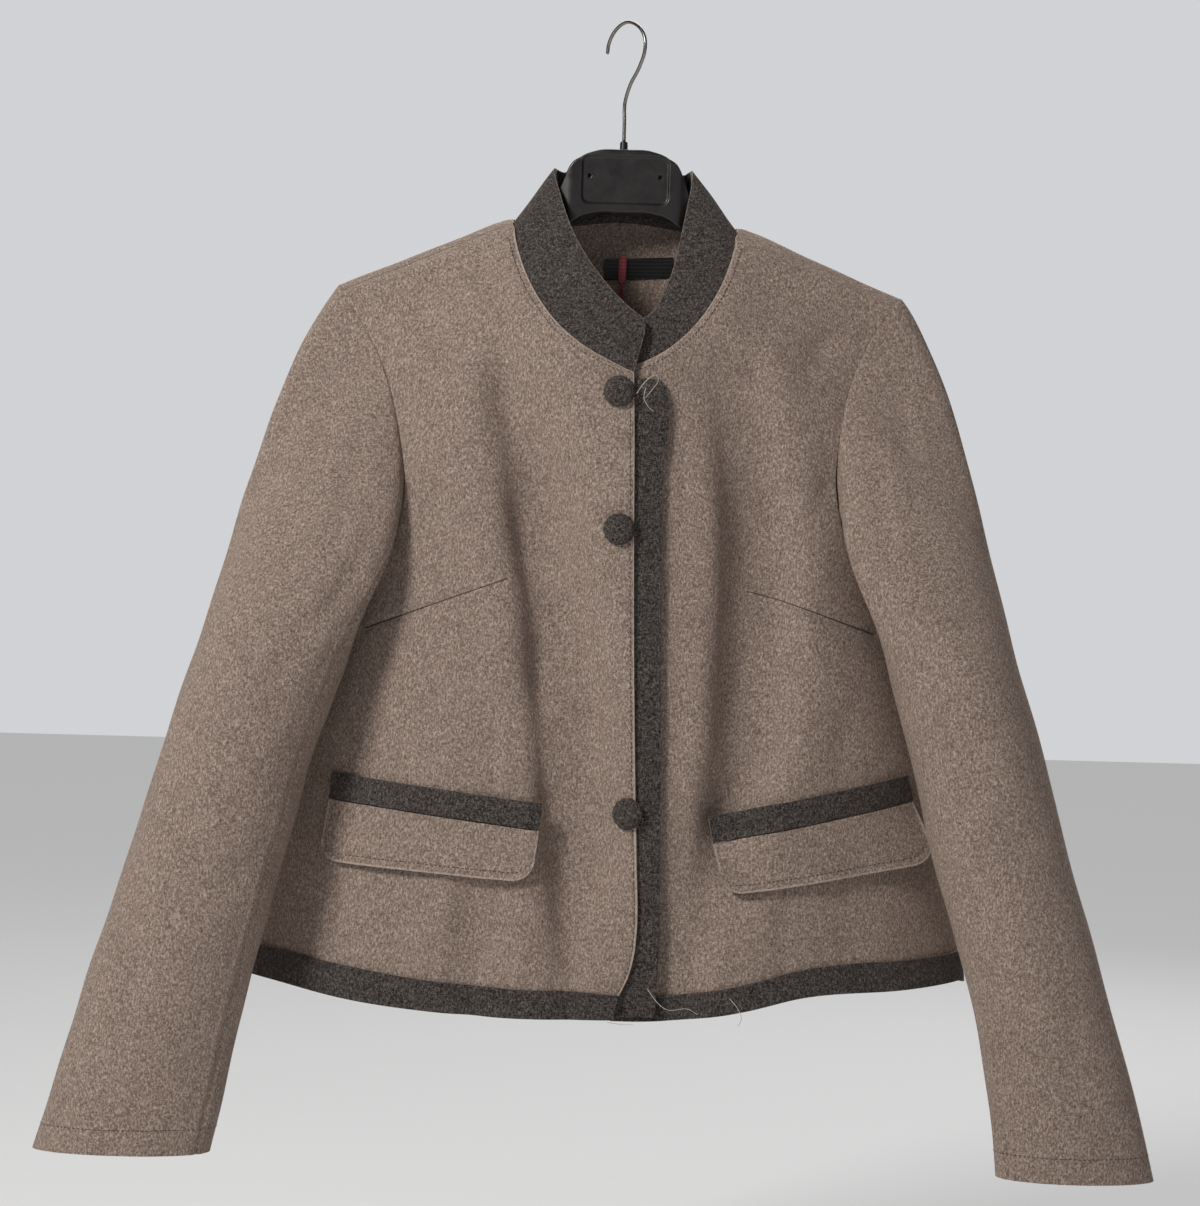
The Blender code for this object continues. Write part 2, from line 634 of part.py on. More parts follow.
def collar_points(side, turns, rows=(0.0, 0.34, 0.67, 1.0)):
    """Outer points of half the collar: a row lapped inside the neck edge, then up to the top edge."""
    under = side > 0
    inside = -(WALL + COLLAR_GAP)
    end = turns[-1]
    lap = 1.5 + 6.0 * (1 - ease(turns, end - 22, end - 2)) * (0.25 + 0.75 * ease(turns, 60, 110))
    low = lifted(*neck(turns, side, lap), inside, under)
    edge = lifted(*neck(turns, side, 0.0), inside - 0.5, under)
    top = table(turns, COLLAR_TOP[side])
    corner = 9.0 if side < 0 else 4.0
    near = np.clip((turns - (end - 5.0)) / 5.0, 0, 1)
    length = np.linalg.norm(top - edge, axis=-1)
    height = (length - corner * (1 - np.sqrt(1 - near**2))) / length
    grid = [low]
    bow = np.cross(top - edge, np.gradient(edge, axis=0))
    bow = bow / np.linalg.norm(bow, axis=-1, keepdims=True)
    bow = bow * np.sign(np.sum(bow * (edge - np.array([0, -10.0, -150.0])), -1, keepdims=True))
    for s in rows:
        share = (s * height)[:, None]
        grid.append(edge + (top - edge) * share + 1.5 * bow * np.sin(np.pi * share * 0.8))
    return np.array(grid)


def build_hem_bands():
    rows = 1 - BAND_SHARE * np.array([1.0, 0.5, 0.0])
    for side, name in ((-1, "hem_band_front_right"), (1, "hem_band_front_left")):
        turn, reach = smooth_patch(lambda u, v: front_patch(side, u, v), FRONT_U, rows)
        reach[-1] = reach[-1] - 1.5
        panel(name, turn, reach, GAP, GAP + TRIM_WALL, "charcoal", side > 0)
    turn, reach = smooth_patch(back_patch, BACK_U, rows)
    reach[-1] = reach[-1] + 1.5
    panel("hem_band_back", turn, reach, GAP, GAP + TRIM_WALL, "charcoal")


def build_placket():
    down = np.concatenate([[260.6, 262.5, 265.5, 270.0], np.linspace(290, 680, 16), [692, 704.5]])
    free = table(down, PLACKET, 0)
    inner = table(down, FRONT_EDGE[-1], 0) - PLACKET_LAP
    share = np.array([0.0, 0.3, 0.65, 1.0])
    x = inner[:, None] + (free - inner)[:, None] * share
    turn, reach = place(x, np.broadcast_to(down[:, None], x.shape))
    top = -(WALL + BAND_GAP)
    solid_of("placket_band", lifted(turn, reach, top), lifted(turn, reach, top - TRIM_WALL), "charcoal")


def pocket_points(side, along, height, lift, hang=0.0):
    """Points of the front along a pocket. Along runs from the outer end, height down from its top edge."""
    row = POCKETS[side]
    outer, inner = np.array(row["outer"]), np.array(row["inner"])
    line = outer + (inner - outer) * along[..., None]
    direction = (inner - outer) / np.linalg.norm(inner - outer)
    across = np.array([-direction[1], direction[0]])
    across = across * np.sign(across[1])
    point = line + across * height[..., None]
    turn, reach = place(point[..., 0], point[..., 1])
    return lifted(turn, reach, lift + hang, side > 0, 0.55)


def build_pockets():
    for side, word in ((-1, "right"), (1, "left")):
        row = POCKETS[side]
        along = np.broadcast_to(np.linspace(0, 1, 13), (3, 13))
        height = np.broadcast_to(np.linspace(-WELT_HEIGHT, -0.4, 3)[:, None], (3, 13))
        low = pocket_points(side, along, height, 1.0)
        high = pocket_points(side, along, height, 1.0 + TRIM_WALL)
        solid_of(f"welt_{word}", high, low, "charcoal")

        length = np.hypot(*(np.array(row["outer"]) - np.array(row["inner"])))
        u = np.array([0, 0.012, 0.035, 0.065, 0.1, 0.2, 0.3, 0.4, 0.5, 0.6, 0.7, 0.8, 0.9, 0.935,
            0.965, 0.988, 1.0])
        from_end = np.minimum(u, 1 - u) * length
        within = np.maximum(FLAP_CORNER - from_end, 0)
        cut = FLAP_CORNER - np.sqrt(np.maximum(FLAP_CORNER**2 - within**2, 0))
        full = row["outer_height"] + (row["inner_height"] - row["outer_height"]) * u
        v = np.linspace(0, 1, 5)
        height = 0.4 + v[:, None] * (full - cut - 0.4)
        along = np.broadcast_to(u, height.shape)
        hang = row["lift"] * (1 - ease(u, 0.0, 0.35)) * v[:, None] + 1.2 * v[:, None]
        low = pocket_points(side, along, height, 1.0, hang)
        high = pocket_points(side, along, height, 1.0 + WALL, hang)
        solid_of(f"flap_{word}", high, low, "loden")


def build_buttons():
    for name, (x, down) in BUTTONS.items():
        turn, reach = place(x, down)
        centre = lifted(turn, reach, BUTTON_GAP[name])
        normal = body_normal(turn, reach)
        side = np.cross(normal, [0.0, 0.0, 1.0])
        side = side / np.linalg.norm(side)
        up = np.cross(side, normal)
        angle = np.linspace(0, 2 * np.pi, 17)[:-1]
        ring = np.cos(angle)[:, None] * side + np.sin(angle)[:, None] * up
        rows = ((0.86, 0.0), (1.0, 0.28), (0.95, 0.6), (0.72, 0.88), (0.36, 1.0))
        rings = [centre + ring * BUTTON_RADIUS * r + normal * BUTTON_HEIGHT * h for r, h in rows]
        points = np.concatenate(rings + [[centre], [centre + normal * BUTTON_HEIGHT * 1.02]])
        n = len(angle)
        faces = []
        for i in range(n):
            j = (i + 1) % n
            for k in range(len(rows) - 1):
                a, b, c, d = k * n + i, k * n + j, (k + 1) * n + j, (k + 1) * n + i
                faces += [(a, b, c), (a, c, d)]
            last = (len(rows) - 1) * n
            faces += [(j, i, len(rows) * n), (last + i, last + j, len(rows) * n + 1)]
        add_mesh(name, points, np.array(faces), "charcoal")


def build_label():
    x = np.linspace(-12.3, 38.5, 6)
    top, bottom = 165.0 - (x + 12) * 0.03, 180.5 - (x + 12) * 0.06
    down = np.stack([top, bottom])
    turn, reach = place(np.broadcast_to(x, down.shape), down, True)
    inside = -(WALL + 0.8)
    solid_of("neck_label", lifted(turn, reach, inside), lifted(turn, reach, inside - 0.8), "label")
    x = np.array([-1.6, 1.7, 5.0])
    down = np.array([163.0, 172, 184, 198])[:, None]
    width = np.array([1.0, 1.0, 0.9, 0.28])[:, None]
    x = 1.7 + (x - 1.7) * width
    turn, reach = place(x, np.broadcast_to(down, x.shape), True)
    inside = inside - 1.6
    solid_of("neck_ribbon", lifted(turn, reach, inside), lifted(turn, reach, inside - 0.7), "ribbon")


def build_hanger():
    rows = np.array(HANGER)
    away = np.concatenate([-rows[::-1, 0], rows[1:, 0]])
    values = np.concatenate([rows[::-1, 1:], rows[1:, 1:]])
    angle = np.linspace(0, 2 * np.pi, 13)[:-1]
    c, s = signed_power(np.cos(angle), 0.45), signed_power(np.sin(angle), 0.45)
    rings = []
    for x, (top, bottom, depth, middle) in zip(away, values):
        z = (top + bottom) / 2 + (top - bottom) / 2 * s
        rings.append(np.stack([np.full(len(angle), HANGER_X + x), middle + depth * c, z], -1))
    rings = np.array(rings)
    count, n = rings.shape[:2]
    points = np.concatenate([rings.reshape(-1, 3), rings[:1].mean(axis=1), rings[-1:].mean(axis=1)])
    faces = []
    for i in range(n):
        j = (i + 1) % n
        for k in range(count - 1):
            a, b, c2, d = k * n + i, k * n + j, (k + 1) * n + j, (k + 1) * n + i
            faces += [(a, b, c2), (a, c2, d)]
        faces += [(j, i, count * n), ((count - 1) * n + i, (count - 1) * n + j, count * n + 1)]
    add_mesh("hanger_body", points, np.array(faces), "plastic")

    middle = (0, 0, -87.9 * MM)
    bpy.ops.mesh.primitive_cylinder_add(vertices=16, radius=2.9 * MM, depth=6.6 * MM, location=middle)
    ferrule = bpy.context.object
    ferrule.name = "hanger_ferrule"
    give_material(ferrule, "plastic")

    path = np.array(HOOK, float)
    length = np.concatenate([[0], np.cumsum(np.hypot(*np.diff(path, axis=0).T))])
    fine = table(np.linspace(0, length[-1], 44), np.column_stack([length, path]))
    curve = bpy.data.curves.new("hanger_hook", "CURVE")
    curve.dimensions = "3D"
    curve.bevel_depth = HOOK_WIRE * MM
    curve.bevel_resolution = 2
    curve.resolution_u = 1
    curve.use_fill_caps = True
    line = curve.splines.new("POLY")
    line.points.add(len(fine) - 1)
    for point, (h, z) in zip(line.points, fine):
        point.co = (h * np.cos(HOOK_TURN) * MM, -h * np.sin(HOOK_TURN) * MM, z * MM, 1)
    hook = bpy.data.objects.new("hanger_hook", curve)
    bpy.context.collection.objects.link(hook)
    give_material(hook, "steel")


def clear_scene():
    for item in list(bpy.data.objects):
        bpy.data.objects.remove(item, do_unlink=True)


clear_scene()
build_fronts()
build_back()
build_sleeves()
build_collar()
build_hem_bands()
build_placket()
build_pockets()
build_buttons()
build_label()
build_hanger()
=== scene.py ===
"""A short felt jacket with charcoal trims on a black clothes hanger: the finished cloth, sewing and materials.

Lengths in the tables are millimetres, and each mesh is written in metres. X runs across, Y from the front to
the back and Z up, from the inner crest of the hook. The wearer's right is the -X side, and that front laps over.
The body is one surface of two parameters, a turn round it and a reach down from the shoulder ridge. Each cloth
panel is a patch of it, and what lies on a panel is made from its points moved out.
"""

import functools

import bpy
import numpy as np
from bpy.props import FloatProperty, FloatVectorProperty, PointerProperty
from mathutils import Matrix


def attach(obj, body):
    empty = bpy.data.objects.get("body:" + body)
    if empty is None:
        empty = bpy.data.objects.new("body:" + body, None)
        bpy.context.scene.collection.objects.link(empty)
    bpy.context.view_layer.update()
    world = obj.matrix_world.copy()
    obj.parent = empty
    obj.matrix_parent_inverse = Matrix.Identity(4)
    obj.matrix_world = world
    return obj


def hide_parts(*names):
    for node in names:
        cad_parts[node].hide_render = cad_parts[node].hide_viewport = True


bl_info = {
    "name": "Short felt jacket on a hanger",
    "version": (1, 0, 0),
    "blender": (4, 5, 0),
    "location": "3D View > Sidebar > Jacket",
    "description": "Makes the cloth, sewing, buttons and hanger of a short felt jacket",
    "category": "Add Mesh",
}

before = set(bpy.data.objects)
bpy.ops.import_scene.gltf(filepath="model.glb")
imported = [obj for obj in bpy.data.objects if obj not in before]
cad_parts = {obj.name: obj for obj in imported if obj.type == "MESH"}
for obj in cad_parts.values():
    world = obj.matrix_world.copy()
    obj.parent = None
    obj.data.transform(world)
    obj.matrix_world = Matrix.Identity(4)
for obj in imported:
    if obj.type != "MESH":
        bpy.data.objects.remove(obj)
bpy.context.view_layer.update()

MM = 0.001
WALL = 2.2
COLLAR_WALL = 2.6
COLLAR_GAP = 0.1
ARMHOLE_GAP = 0.7
SLEEVE_PROUD = 4.0
TRIM_WALL = 2.0
GAP = 0.5
SEAM_HALF_GAP = 0.5
SEAM_TURN = 0.0075
CHEST_HALF = 206.0
HEM_HALF = 264.0

RIDGE_TOP = -116.0
RIDGE_SLOPE = 0.43
RIDGE_BLEND = 20.0
RIDGE_Y = -5.0
SIDE_Y = 8.0
SHOULDER_ROUND = 14.0
NECK_ROUND = 8.0
FILL_DEPTH = 180.0
SECTION_POWER = 1.1
SEAM_REACH = 11.5
UNDERLAP = 8.2
UNDERLAP_HEM = 3.6
BAND_GAP = 0.9

# Down from the crest, half width, depth of the front, depth of the back.
BODY_ROWS = (
    (100, 206, 85, 50), (300, 206, 85, 50), (415, 206, 86, 50), (490, 222, 87, 52), (600, 245, 89, 55),
    (720, 266, 90, 58),
)

# Neck opening of each side: centre, half width, drop below the ridge in front and behind.
NECK = {
    -1: {"centre": 13.0, "half": 91.0, "front": 139.5, "back": 20.0, "power": 1.6},
    1: {"centre": -5.0, "half": 88.0, "front": 139.5, "back": 20.0, "power": 1.6},
}
NECK_BACK_POWER = 1.4

# Troughs of the fronts. Path: down, x. Then depth, width to the -X side and to the +X side, fades.
TROUGHS = (
    {
        "path": ((215, -72), (312, -53), (386, -37), (436, -28), (528, -15), (598, -10), (720, -6)),
        "depth": 19.0, "minus": 24.0, "plus": 20.0, "from": 215, "full": 350, "easing": 590, "to": 690,
    },
    {
        "path": ((215, 86), (308, 101), (357, 109), (412, 112), (468, 111), (525, 103), (567, 91),
            (624, 83), (720, 77)),
        "depth": 19.0, "minus": 25.0, "plus": 19.0, "from": 215, "full": 350, "easing": 560, "to": 680,
    },
    {
        "path": ((480, -78), (560, -74), (720, -80)),
        "depth": 4.5, "minus": 16.0, "plus": 16.0, "from": 470, "full": 520, "easing": 640, "to": 720,
    },
    {
        "path": ((590, -88), (720, -92)),
        "depth": 4.0, "minus": 14.0, "plus": 12.0, "from": 590, "full": 640, "easing": 700, "to": 760,
    },
)

# Soft folds of the back: x at the top, x at the hem, depth, width.
BACK_FOLDS = ((-62, -92, 9.0, 30.0), (58, 96, 8.0, 27.0), (-150, -176, 5.0, 22.0), (148, 172, 6.0, 24.0))

# Front edge of each front: down, x.
FRONT_EDGE = {
    -1: ((250, 11), (300, 12.6), (400, 15), (528, 19.3), (600, 22.5), (645, 24), (662, 22.5),
        (678, 18.5), (690, 13), (712, 8)),
    1: ((250, -4), (300, -7), (400, -8), (528, -4), (600, 0), (645, 2), (662, 3), (678, 4),
        (690, 5), (712, 6)),
}

# Hem of each panel: x outwards from the middle, down.
HEM = {
    -1: ((-30, 704.5), (80, 705.5), (188, 698), (235, 691), (266, 688)),
    1: ((-30, 706.5), (44, 706), (99, 698), (141, 689), (216, 685.5), (266, 682)),
    0: ((0, 691), (120, 691), (200, 689), (235, 687), (266, 685)),
}

# Armhole of each side from shoulder point to underarm: down, x outwards. The last turns to the side seam.
ARMHOLE_FRONT = {
    -1: ((198.5, 201), (222, 184), (252, 167.5), (300, 153.5), (345, 148.5), (385, 158),
        (406, 178), (418, 206)),
    1: ((199.0, 198), (222, 182), (240, 172.5), (294, 158), (330, 156), (372, 164), (402, 182), (418, 206)),
}
# The same behind, as reach over the ridge, x outwards.
ARMHOLE_BACK = (
    (-11.5, 201), (0, 201.5), (12, 199.5), (45, 187), (85, 175), (138, 167), (183, 168.5),
    (213, 179), (226, 192), (229.5, 206),
)
UNDERARM = 418.0
UNDERARM_SHARE = 0.52

# Top edge of each collar half: turn round the neck from the back, x, y, z.
COLLAR_TOP = {
    -1: (
        (0, 0, 21, -100), (30, -20, 20.5, -101), (60, -42, 13, -106), (90, -48.5, -3, -111), (110, -38, -25, -146),
        (130, -25, -38, -172), (150, -8, -48, -195), (165, 6, -54, -209.5), (177.2, 19.5, -58, -220),
    ),
    1: (
        (0, 0, 21, -100), (30, 20, 20.5, -101), (60, 43, 13, -106), (90, 49.5, -3, -111), (110, 43, -22, -151),
        (130, 35.5, -35, -185), (150, 23, -45, -212), (165, 8, -47.5, -221), (176, -4, -48.5, -226),
    ),
}

# Sleeve sections: down, x outwards, y, half width, half depth.
SLEEVE = {
    -1: (
        (470, 240, -62, 54.5, 43), (522, 256.7, -67, 52.7, 42), (578, 272, -71, 53.5, 41), (634, 287, -74, 55, 39),
        (690, 302.3, -76, 56.8, 36), (746, 316, -77.5, 59, 32), (805, 330.5, -78, 61.5, 27),
    ),
    1: (
        (470, 243, -62, 46.5, 43), (522, 258, -67, 46.5, 42), (578, 272, -71, 48, 40), (634, 288.5, -74, 47.5, 38),
        (690, 305, -76, 48, 35), (746, 319, -77.5, 50.5, 31), (808, 331, -78, 55, 26),
    ),
}
# Way in which the sleeve leaves the armhole: turn round it, outwards, y, z.
SLEEVE_START = (
    (0, 130, 0, -160), (60, 60, -50, -150), (113, -6, -80, -115), (145, 25, -95, -60), (180, 190, -45, -8),
    (225, 120, 38, -62), (270, 128, 42, -100), (315, 130, 18, -150), (360, 130, 0, -160),
)
SLEEVE_AXIS = (0.29, -0.10, -0.952)
SEAM_FRONT_TURN = 123.0
SEAM_BACK_TURN = 272.0

# Pockets: outer top corner and inner top corner as x, down; heights at the outer and inner end.
POCKETS = {
    -1: {"outer": (-195.0, 561.0), "inner": (-46.8, 577.0), "outer_height": 43.5,
        "inner_height": 36.0, "lift": 0.0},
    1: {"outer": (216.0, 553.5), "inner": (75.0, 583.8), "outer_height": 44.0,
        "inner_height": 37.0, "lift": 7.0},
}
FLAP_CORNER = 14.0
WELT_HEIGHT = 18.8

BUTTONS = {"button_top": (0.9, 270.6), "button_middle": (3.4, 366.5), "button_bottom": (14.8, 563.7)}
BUTTON_GAP = {"button_top": 0.45, "button_middle": 0.45, "button_bottom": 0.45}
BUTTON_RADIUS = 11.0
BUTTON_HEIGHT = 6.5

# Placket band: down, x of its free edge.
PLACKET = ((260.6, 29.5), (264, 32.5), (268, 33.8), (330, 33), (430, 34.5), (560, 37.3),
    (640, 38.8), (688, 37.6), (706, 36.5))
PLACKET_LAP = 4.0

HANGER_X = 1.0
# Hanger: distance from the middle, top, bottom, half depth, y of the middle.
HANGER = (
    (0, -91.6, -138, 9, 0), (20, -92.6, -138.3, 9, 0), (31, -97, -141.5, 9, 0), (40, -105, -147.5, 8.5, 0),
    (44.5, -116, -150, 7, 0), (52, -139.5, -154, 5.5, -1), (82, -154.6, -168, 5, -4), (96, -157.3, -173, 5, -5),
    (120, -163.9, -180, 5.5, -5), (160, -180.9, -196, 6.0, -5), (186, -192.1, -206, 6.0, -5),
)
HOOK_TURN = np.radians(50.0)
HOOK_WIRE = 1.3
HOOK = (
    (0, -84.25), (0, -72), (0, -57), (5.2, -45), (15, -33), (20.4, -22), (20.6, -14.5), (16.6, -6.8), (9, -1.2),
    (0, 1.3), (-9, -0.9), (-16.2, -6.2), (-20.2, -13), (-21, -18),
)
BAND_SHARE = 0.034
NECK_END = {-1: 177.2, 1: 176.0}
NECK_SIDE = 96.4


def table(t, rows, column=None):
    """Smooth curve through the rows, whose first column grows."""
    rows = np.asarray(rows, float)
    at, values = rows[:, 0], rows[:, 1:]
    if column is not None:
        values = values[:, column]
    slopes = np.gradient(values, at, axis=0)
    t = np.clip(np.asarray(t, float), at[0], at[-1])
    i = np.clip(np.searchsorted(at, t, side="right") - 1, 0, len(at) - 2)
    step = at[i + 1] - at[i]
    s = (t - at[i]) / step
    if values.ndim > 1:
        step, s = step[..., None], s[..., None]
    ends = (1 + 2 * s) * (1 - s) ** 2 * values[i] + s * s * (3 - 2 * s) * values[i + 1]
    return ends + s * (1 - s) ** 2 * step * slopes[i] + s * s * (s - 1) * step * slopes[i + 1]


def ease(t, low, high):
    """From 0 at low to 1 at high, with level ends: 3 s squared less 2 s cubed."""
    s = np.clip((t - low) / (high - low), 0, 1)
    return s * s * (3 - 2 * s)


def bell(away, width):
    """1 in the middle and 0.37 at the width: e to minus the square of their ratio."""
    return np.exp(-((away / width) ** 2))


def unit(vectors):
    """The vectors at length 1."""
    return vectors / np.maximum(np.linalg.norm(vectors, axis=-1, keepdims=True), 1e-9)


def lengths(line):
    """Length along a line at each of its points."""
    return np.concatenate([[0], np.cumsum(np.linalg.norm(np.diff(line, axis=0), axis=-1))])


def ridge_z(x):
    """Height of the shoulder ridge: a hyperbola, round at the neck and straight towards the sleeves."""
    return RIDGE_TOP - RIDGE_SLOPE * (np.sqrt(x * x + RIDGE_BLEND**2) - RIDGE_BLEND)


def ridge_round(x):
    """Radius of the ridge from front to back, larger near the neck."""
    return SHOULDER_ROUND + NECK_ROUND * bell(x, 50.0)


def drop_of(reach, r):
    """Height lost below the ridge after going this far over it and down."""
    away = np.abs(reach)
    round_part = r * (1 - np.cos(np.minimum(away / r, np.pi / 2)))
    return np.where(away < r * np.pi / 2, round_part, away - r * (np.pi / 2 - 1))


def reach_of(drop, r):
    """How far over the ridge and down the cloth goes to lose this height: the inverse of drop_of."""
    drop = np.maximum(drop, 0)
    return np.where(drop < r, r * np.arccos(np.clip(1 - drop / r, -1, 1)), drop + r * (np.pi / 2 - 1))


def front_troughs(x, down):
    """Depth of the fronts' troughs: bells across each path, wider on one side, that grow and fade down it."""
    total = np.zeros(np.broadcast(x, down).shape)
    for row in TROUGHS:
        away = x - table(down, row["path"], 0)
        width = np.where(away < 0, row["minus"], row["plus"])
        grown = ease(down, row["from"], row["full"]) * (1 - ease(down, row["easing"], row["to"]))
        total = total + row["depth"] * grown * bell(away, width)
    return total


def back_folds(x, down):
    """Depth of the back's folds: bells across straight lines that grow from the shoulders down."""
    total = np.zeros(np.broadcast(x, down).shape)
    for top, hem, depth, width in BACK_FOLDS:
        centre = top + (hem - top) * (down - 300) / 400
        total = total + depth * ease(down, 260, 620) * bell(x - centre, width)
    return total


def body(turn, reach, under=False, folds=1.0):
    """Point of the body's outer face: the turn round it in radians, the reach over the ridge."""
    turn, reach = np.broadcast_arrays(np.asarray(turn, float), np.asarray(reach, float))
    x = CHEST_HALF * np.sin(turn)
    for _ in range(5):
        r = ridge_round(x)
        drop = drop_of(reach, r)
        down = drop - ridge_z(x)
        half, front, back = np.moveaxis(table(down, BODY_ROWS), -1, 0)
        x = half * np.sin(turn)
    behind = reach > 0
    side = np.where(behind, 1.0, -1.0)
    depth = np.where(behind, back, front)
    fill = np.sin(np.pi / 2 * np.clip(drop / FILL_DEPTH, 0, 1))
    inward = np.where(behind, back_folds(x, down), front_troughs(x, down)) * folds
    if under:
        sunk = UNDERLAP + UNDERLAP_HEM * ease(down, 590, 675)
        inward = inward + np.where(behind, 0, sunk * (1 - ease(x, 42, 85)))
    cosine = np.cos(turn)
    section = np.sign(cosine) * np.abs(cosine) ** SECTION_POWER
    full = SIDE_Y + side * (depth * section - inward)
    round_part = RIDGE_Y + side * r * np.sin(np.minimum(np.abs(reach) / r, np.pi / 2))
    y = (1 - fill) * round_part + fill * full
    return np.stack([x, y, -down], axis=-1)


def body_normal(turn, reach, under=False, folds=1.0):
    """Outward normal of the body: the cross product of its two central differences."""
    step = 0.002
    across = body(turn + step, reach, under, folds) - body(turn - step, reach, under, folds)
    reach_step = 0.4
    along = body(turn, reach + reach_step, under, folds) - body(turn, reach - reach_step, under, folds)
    return unit(np.cross(across, along))


def lifted(turn, reach, lift, under=False):
    """Points of the body moved out along its normal by the lift."""
    return body(turn, reach, under) + lift * body_normal(turn, reach, under)


def place(x, down, behind=False):
    """Turn and reach of the point of the front, or of the back, with this x and this far down."""
    x, down = np.broadcast_arrays(np.asarray(x, float), np.asarray(down, float))
    half = table(down, BODY_ROWS, 0)
    turn = np.arcsin(np.clip(x / half, -1, 1))
    reach = reach_of(down + ridge_z(x), ridge_round(x))
    return turn, (reach if behind else -reach)


def neck(turn_round, side, out=0.0):
    """Turn and reach of the neck edge. The turn round the neck is 0 at the back and 180 degrees in front."""
    row = NECK[side]
    angle = np.radians(np.asarray(turn_round, float))
    s, c = np.abs(np.sin(angle)), np.cos(angle)
    reach_side = abs(row["centre"] + side * row["half"])
    back = c >= 0
    power = 2 / np.where(back, NECK_BACK_POWER, row["power"])
    x_back = side * (reach_side + out) * s**power
    x_front = row["centre"] + side * (row["half"] + out) * s**power
    x = np.where(back, x_back, x_front)
    deep = np.where(back, row["back"], row["front"]) + out
    drop = deep * np.abs(c) ** power
    reach = reach_of(drop, ridge_round(x))
    turn = np.arcsin(np.clip(x / CHEST_HALF, -1, 1))
    return turn, np.where(back, reach, -reach)


def coons(top, bottom, start, end, u, v):
    """Patch between four edges, each a function from 0 to 1. Rows follow v and columns u."""
    u_row, v_row = u[None, :, None], v[:, None, None]
    both = np.array([0.0, 1.0])
    first, last = start(both), end(both)
    corners = (1 - u_row) * (1 - v_row) * first[0] + u_row * (1 - v_row) * last[0]
    corners = corners + (1 - u_row) * v_row * first[1] + u_row * v_row * last[1]
    sides = (1 - v_row) * top(u)[None] + v_row * bottom(u)[None]
    return sides + (1 - u_row) * start(v)[:, None] + u_row * end(v)[:, None] - corners


def pair(turn_and_reach):
    """Turn and reach side by side in one array."""
    return np.stack(np.broadcast_arrays(*turn_and_reach), axis=-1)


def front_patch(side, u, v):
    """Turn and reach of a front, from its free edge to the side seam and from the top edge to the hem."""
    side_turn = side * (np.pi / 2 - SEAM_TURN)

    def top(u):
        """Round the neck for half the way, then out along the shoulder seam."""
        along = np.clip(u / 0.5, 0, 1)
        ring = pair(neck(NECK_END[side] + (NECK_SIDE - NECK_END[side]) * along, side))
        x_side = neck(NECK_SIDE, side)[0]
        x_tip = np.arcsin(side * ARMHOLE_FRONT[side][0][1] / CHEST_HALF)
        beyond = np.clip((u - 0.5) / 0.5, 0, 1)
        seam = -(SEAM_REACH + SEAM_HALF_GAP)
        shoulder = np.stack([x_side + (x_tip - x_side) * beyond, np.full(len(u), seam)], -1)
        ring[:, 1] = np.minimum(ring[:, 1], seam)
        return np.where((u <= 0.5)[:, None], ring, shoulder)

    def hem(u):
        """Along the hem's table, from the free edge to the side seam."""
        edge = table(712, FRONT_EDGE[side], 0)
        turn_edge = np.arcsin(edge / HEM_HALF)
        turn = turn_edge + (side_turn - turn_edge) * u
        down = table(side * HEM_HALF * np.sin(turn), HEM[side], 0)
        return pair((turn, place(side * np.abs(HEM_HALF * np.sin(turn)), down)[1]))

    def edge(v):
        """Down the free edge's table, from the neck to the hem."""
        start_down = -body(*neck(NECK_END[side], side))[2]
        end_down = table(side * table(712, FRONT_EDGE[side], 0), HEM[side], 0)
        down = start_down + (end_down - start_down) * v
        return pair(place(table(down, FRONT_EDGE[side], 0), down))

    def outside(v):
        """Down the armhole and the side seam."""
        return pair(side_edge(side, v, False))

    grid = coons(top, hem, edge, outside, u, v)
    return grid[..., 0], grid[..., 1]


def walk(rows, share):
    """Values of the rows at a share of the length of the line through them."""
    rows = np.asarray(rows, float)
    length = lengths(rows)
    return table(share * length[-1], np.column_stack([length, rows]))


def side_edge(side, v, behind):
    """Armhole from the shoulder point, then the side seam to the hem, as turn and reach."""
    share = np.clip(v / UNDERARM_SHARE, 0, 1)
    if behind:
        along = walk(ARMHOLE_BACK, share)
        reach, x = along[:, 0], along[:, 1]
        turn = np.arcsin(np.clip(side * x / CHEST_HALF, -1, 1))
    else:
        along = walk(ARMHOLE_FRONT[side], share)
        turn, reach = place(side * along[:, 1], along[:, 0])
    seam_turn = side * (np.pi / 2 - SEAM_TURN)
    turn = np.where(np.abs(turn) > abs(seam_turn), seam_turn, turn)
    seam_share = np.clip((v - UNDERARM_SHARE) / (1 - UNDERARM_SHARE), 0, 1)
    down = UNDERARM + (table(HEM_HALF, HEM[0 if behind else side], 0) - UNDERARM) * seam_share
    x = table(down, BODY_ROWS, 0)
    seam_reach = place(side * x, down, behind)[1]
    below = v > UNDERARM_SHARE
    return np.where(below, seam_turn, turn), np.where(below, seam_reach, reach)


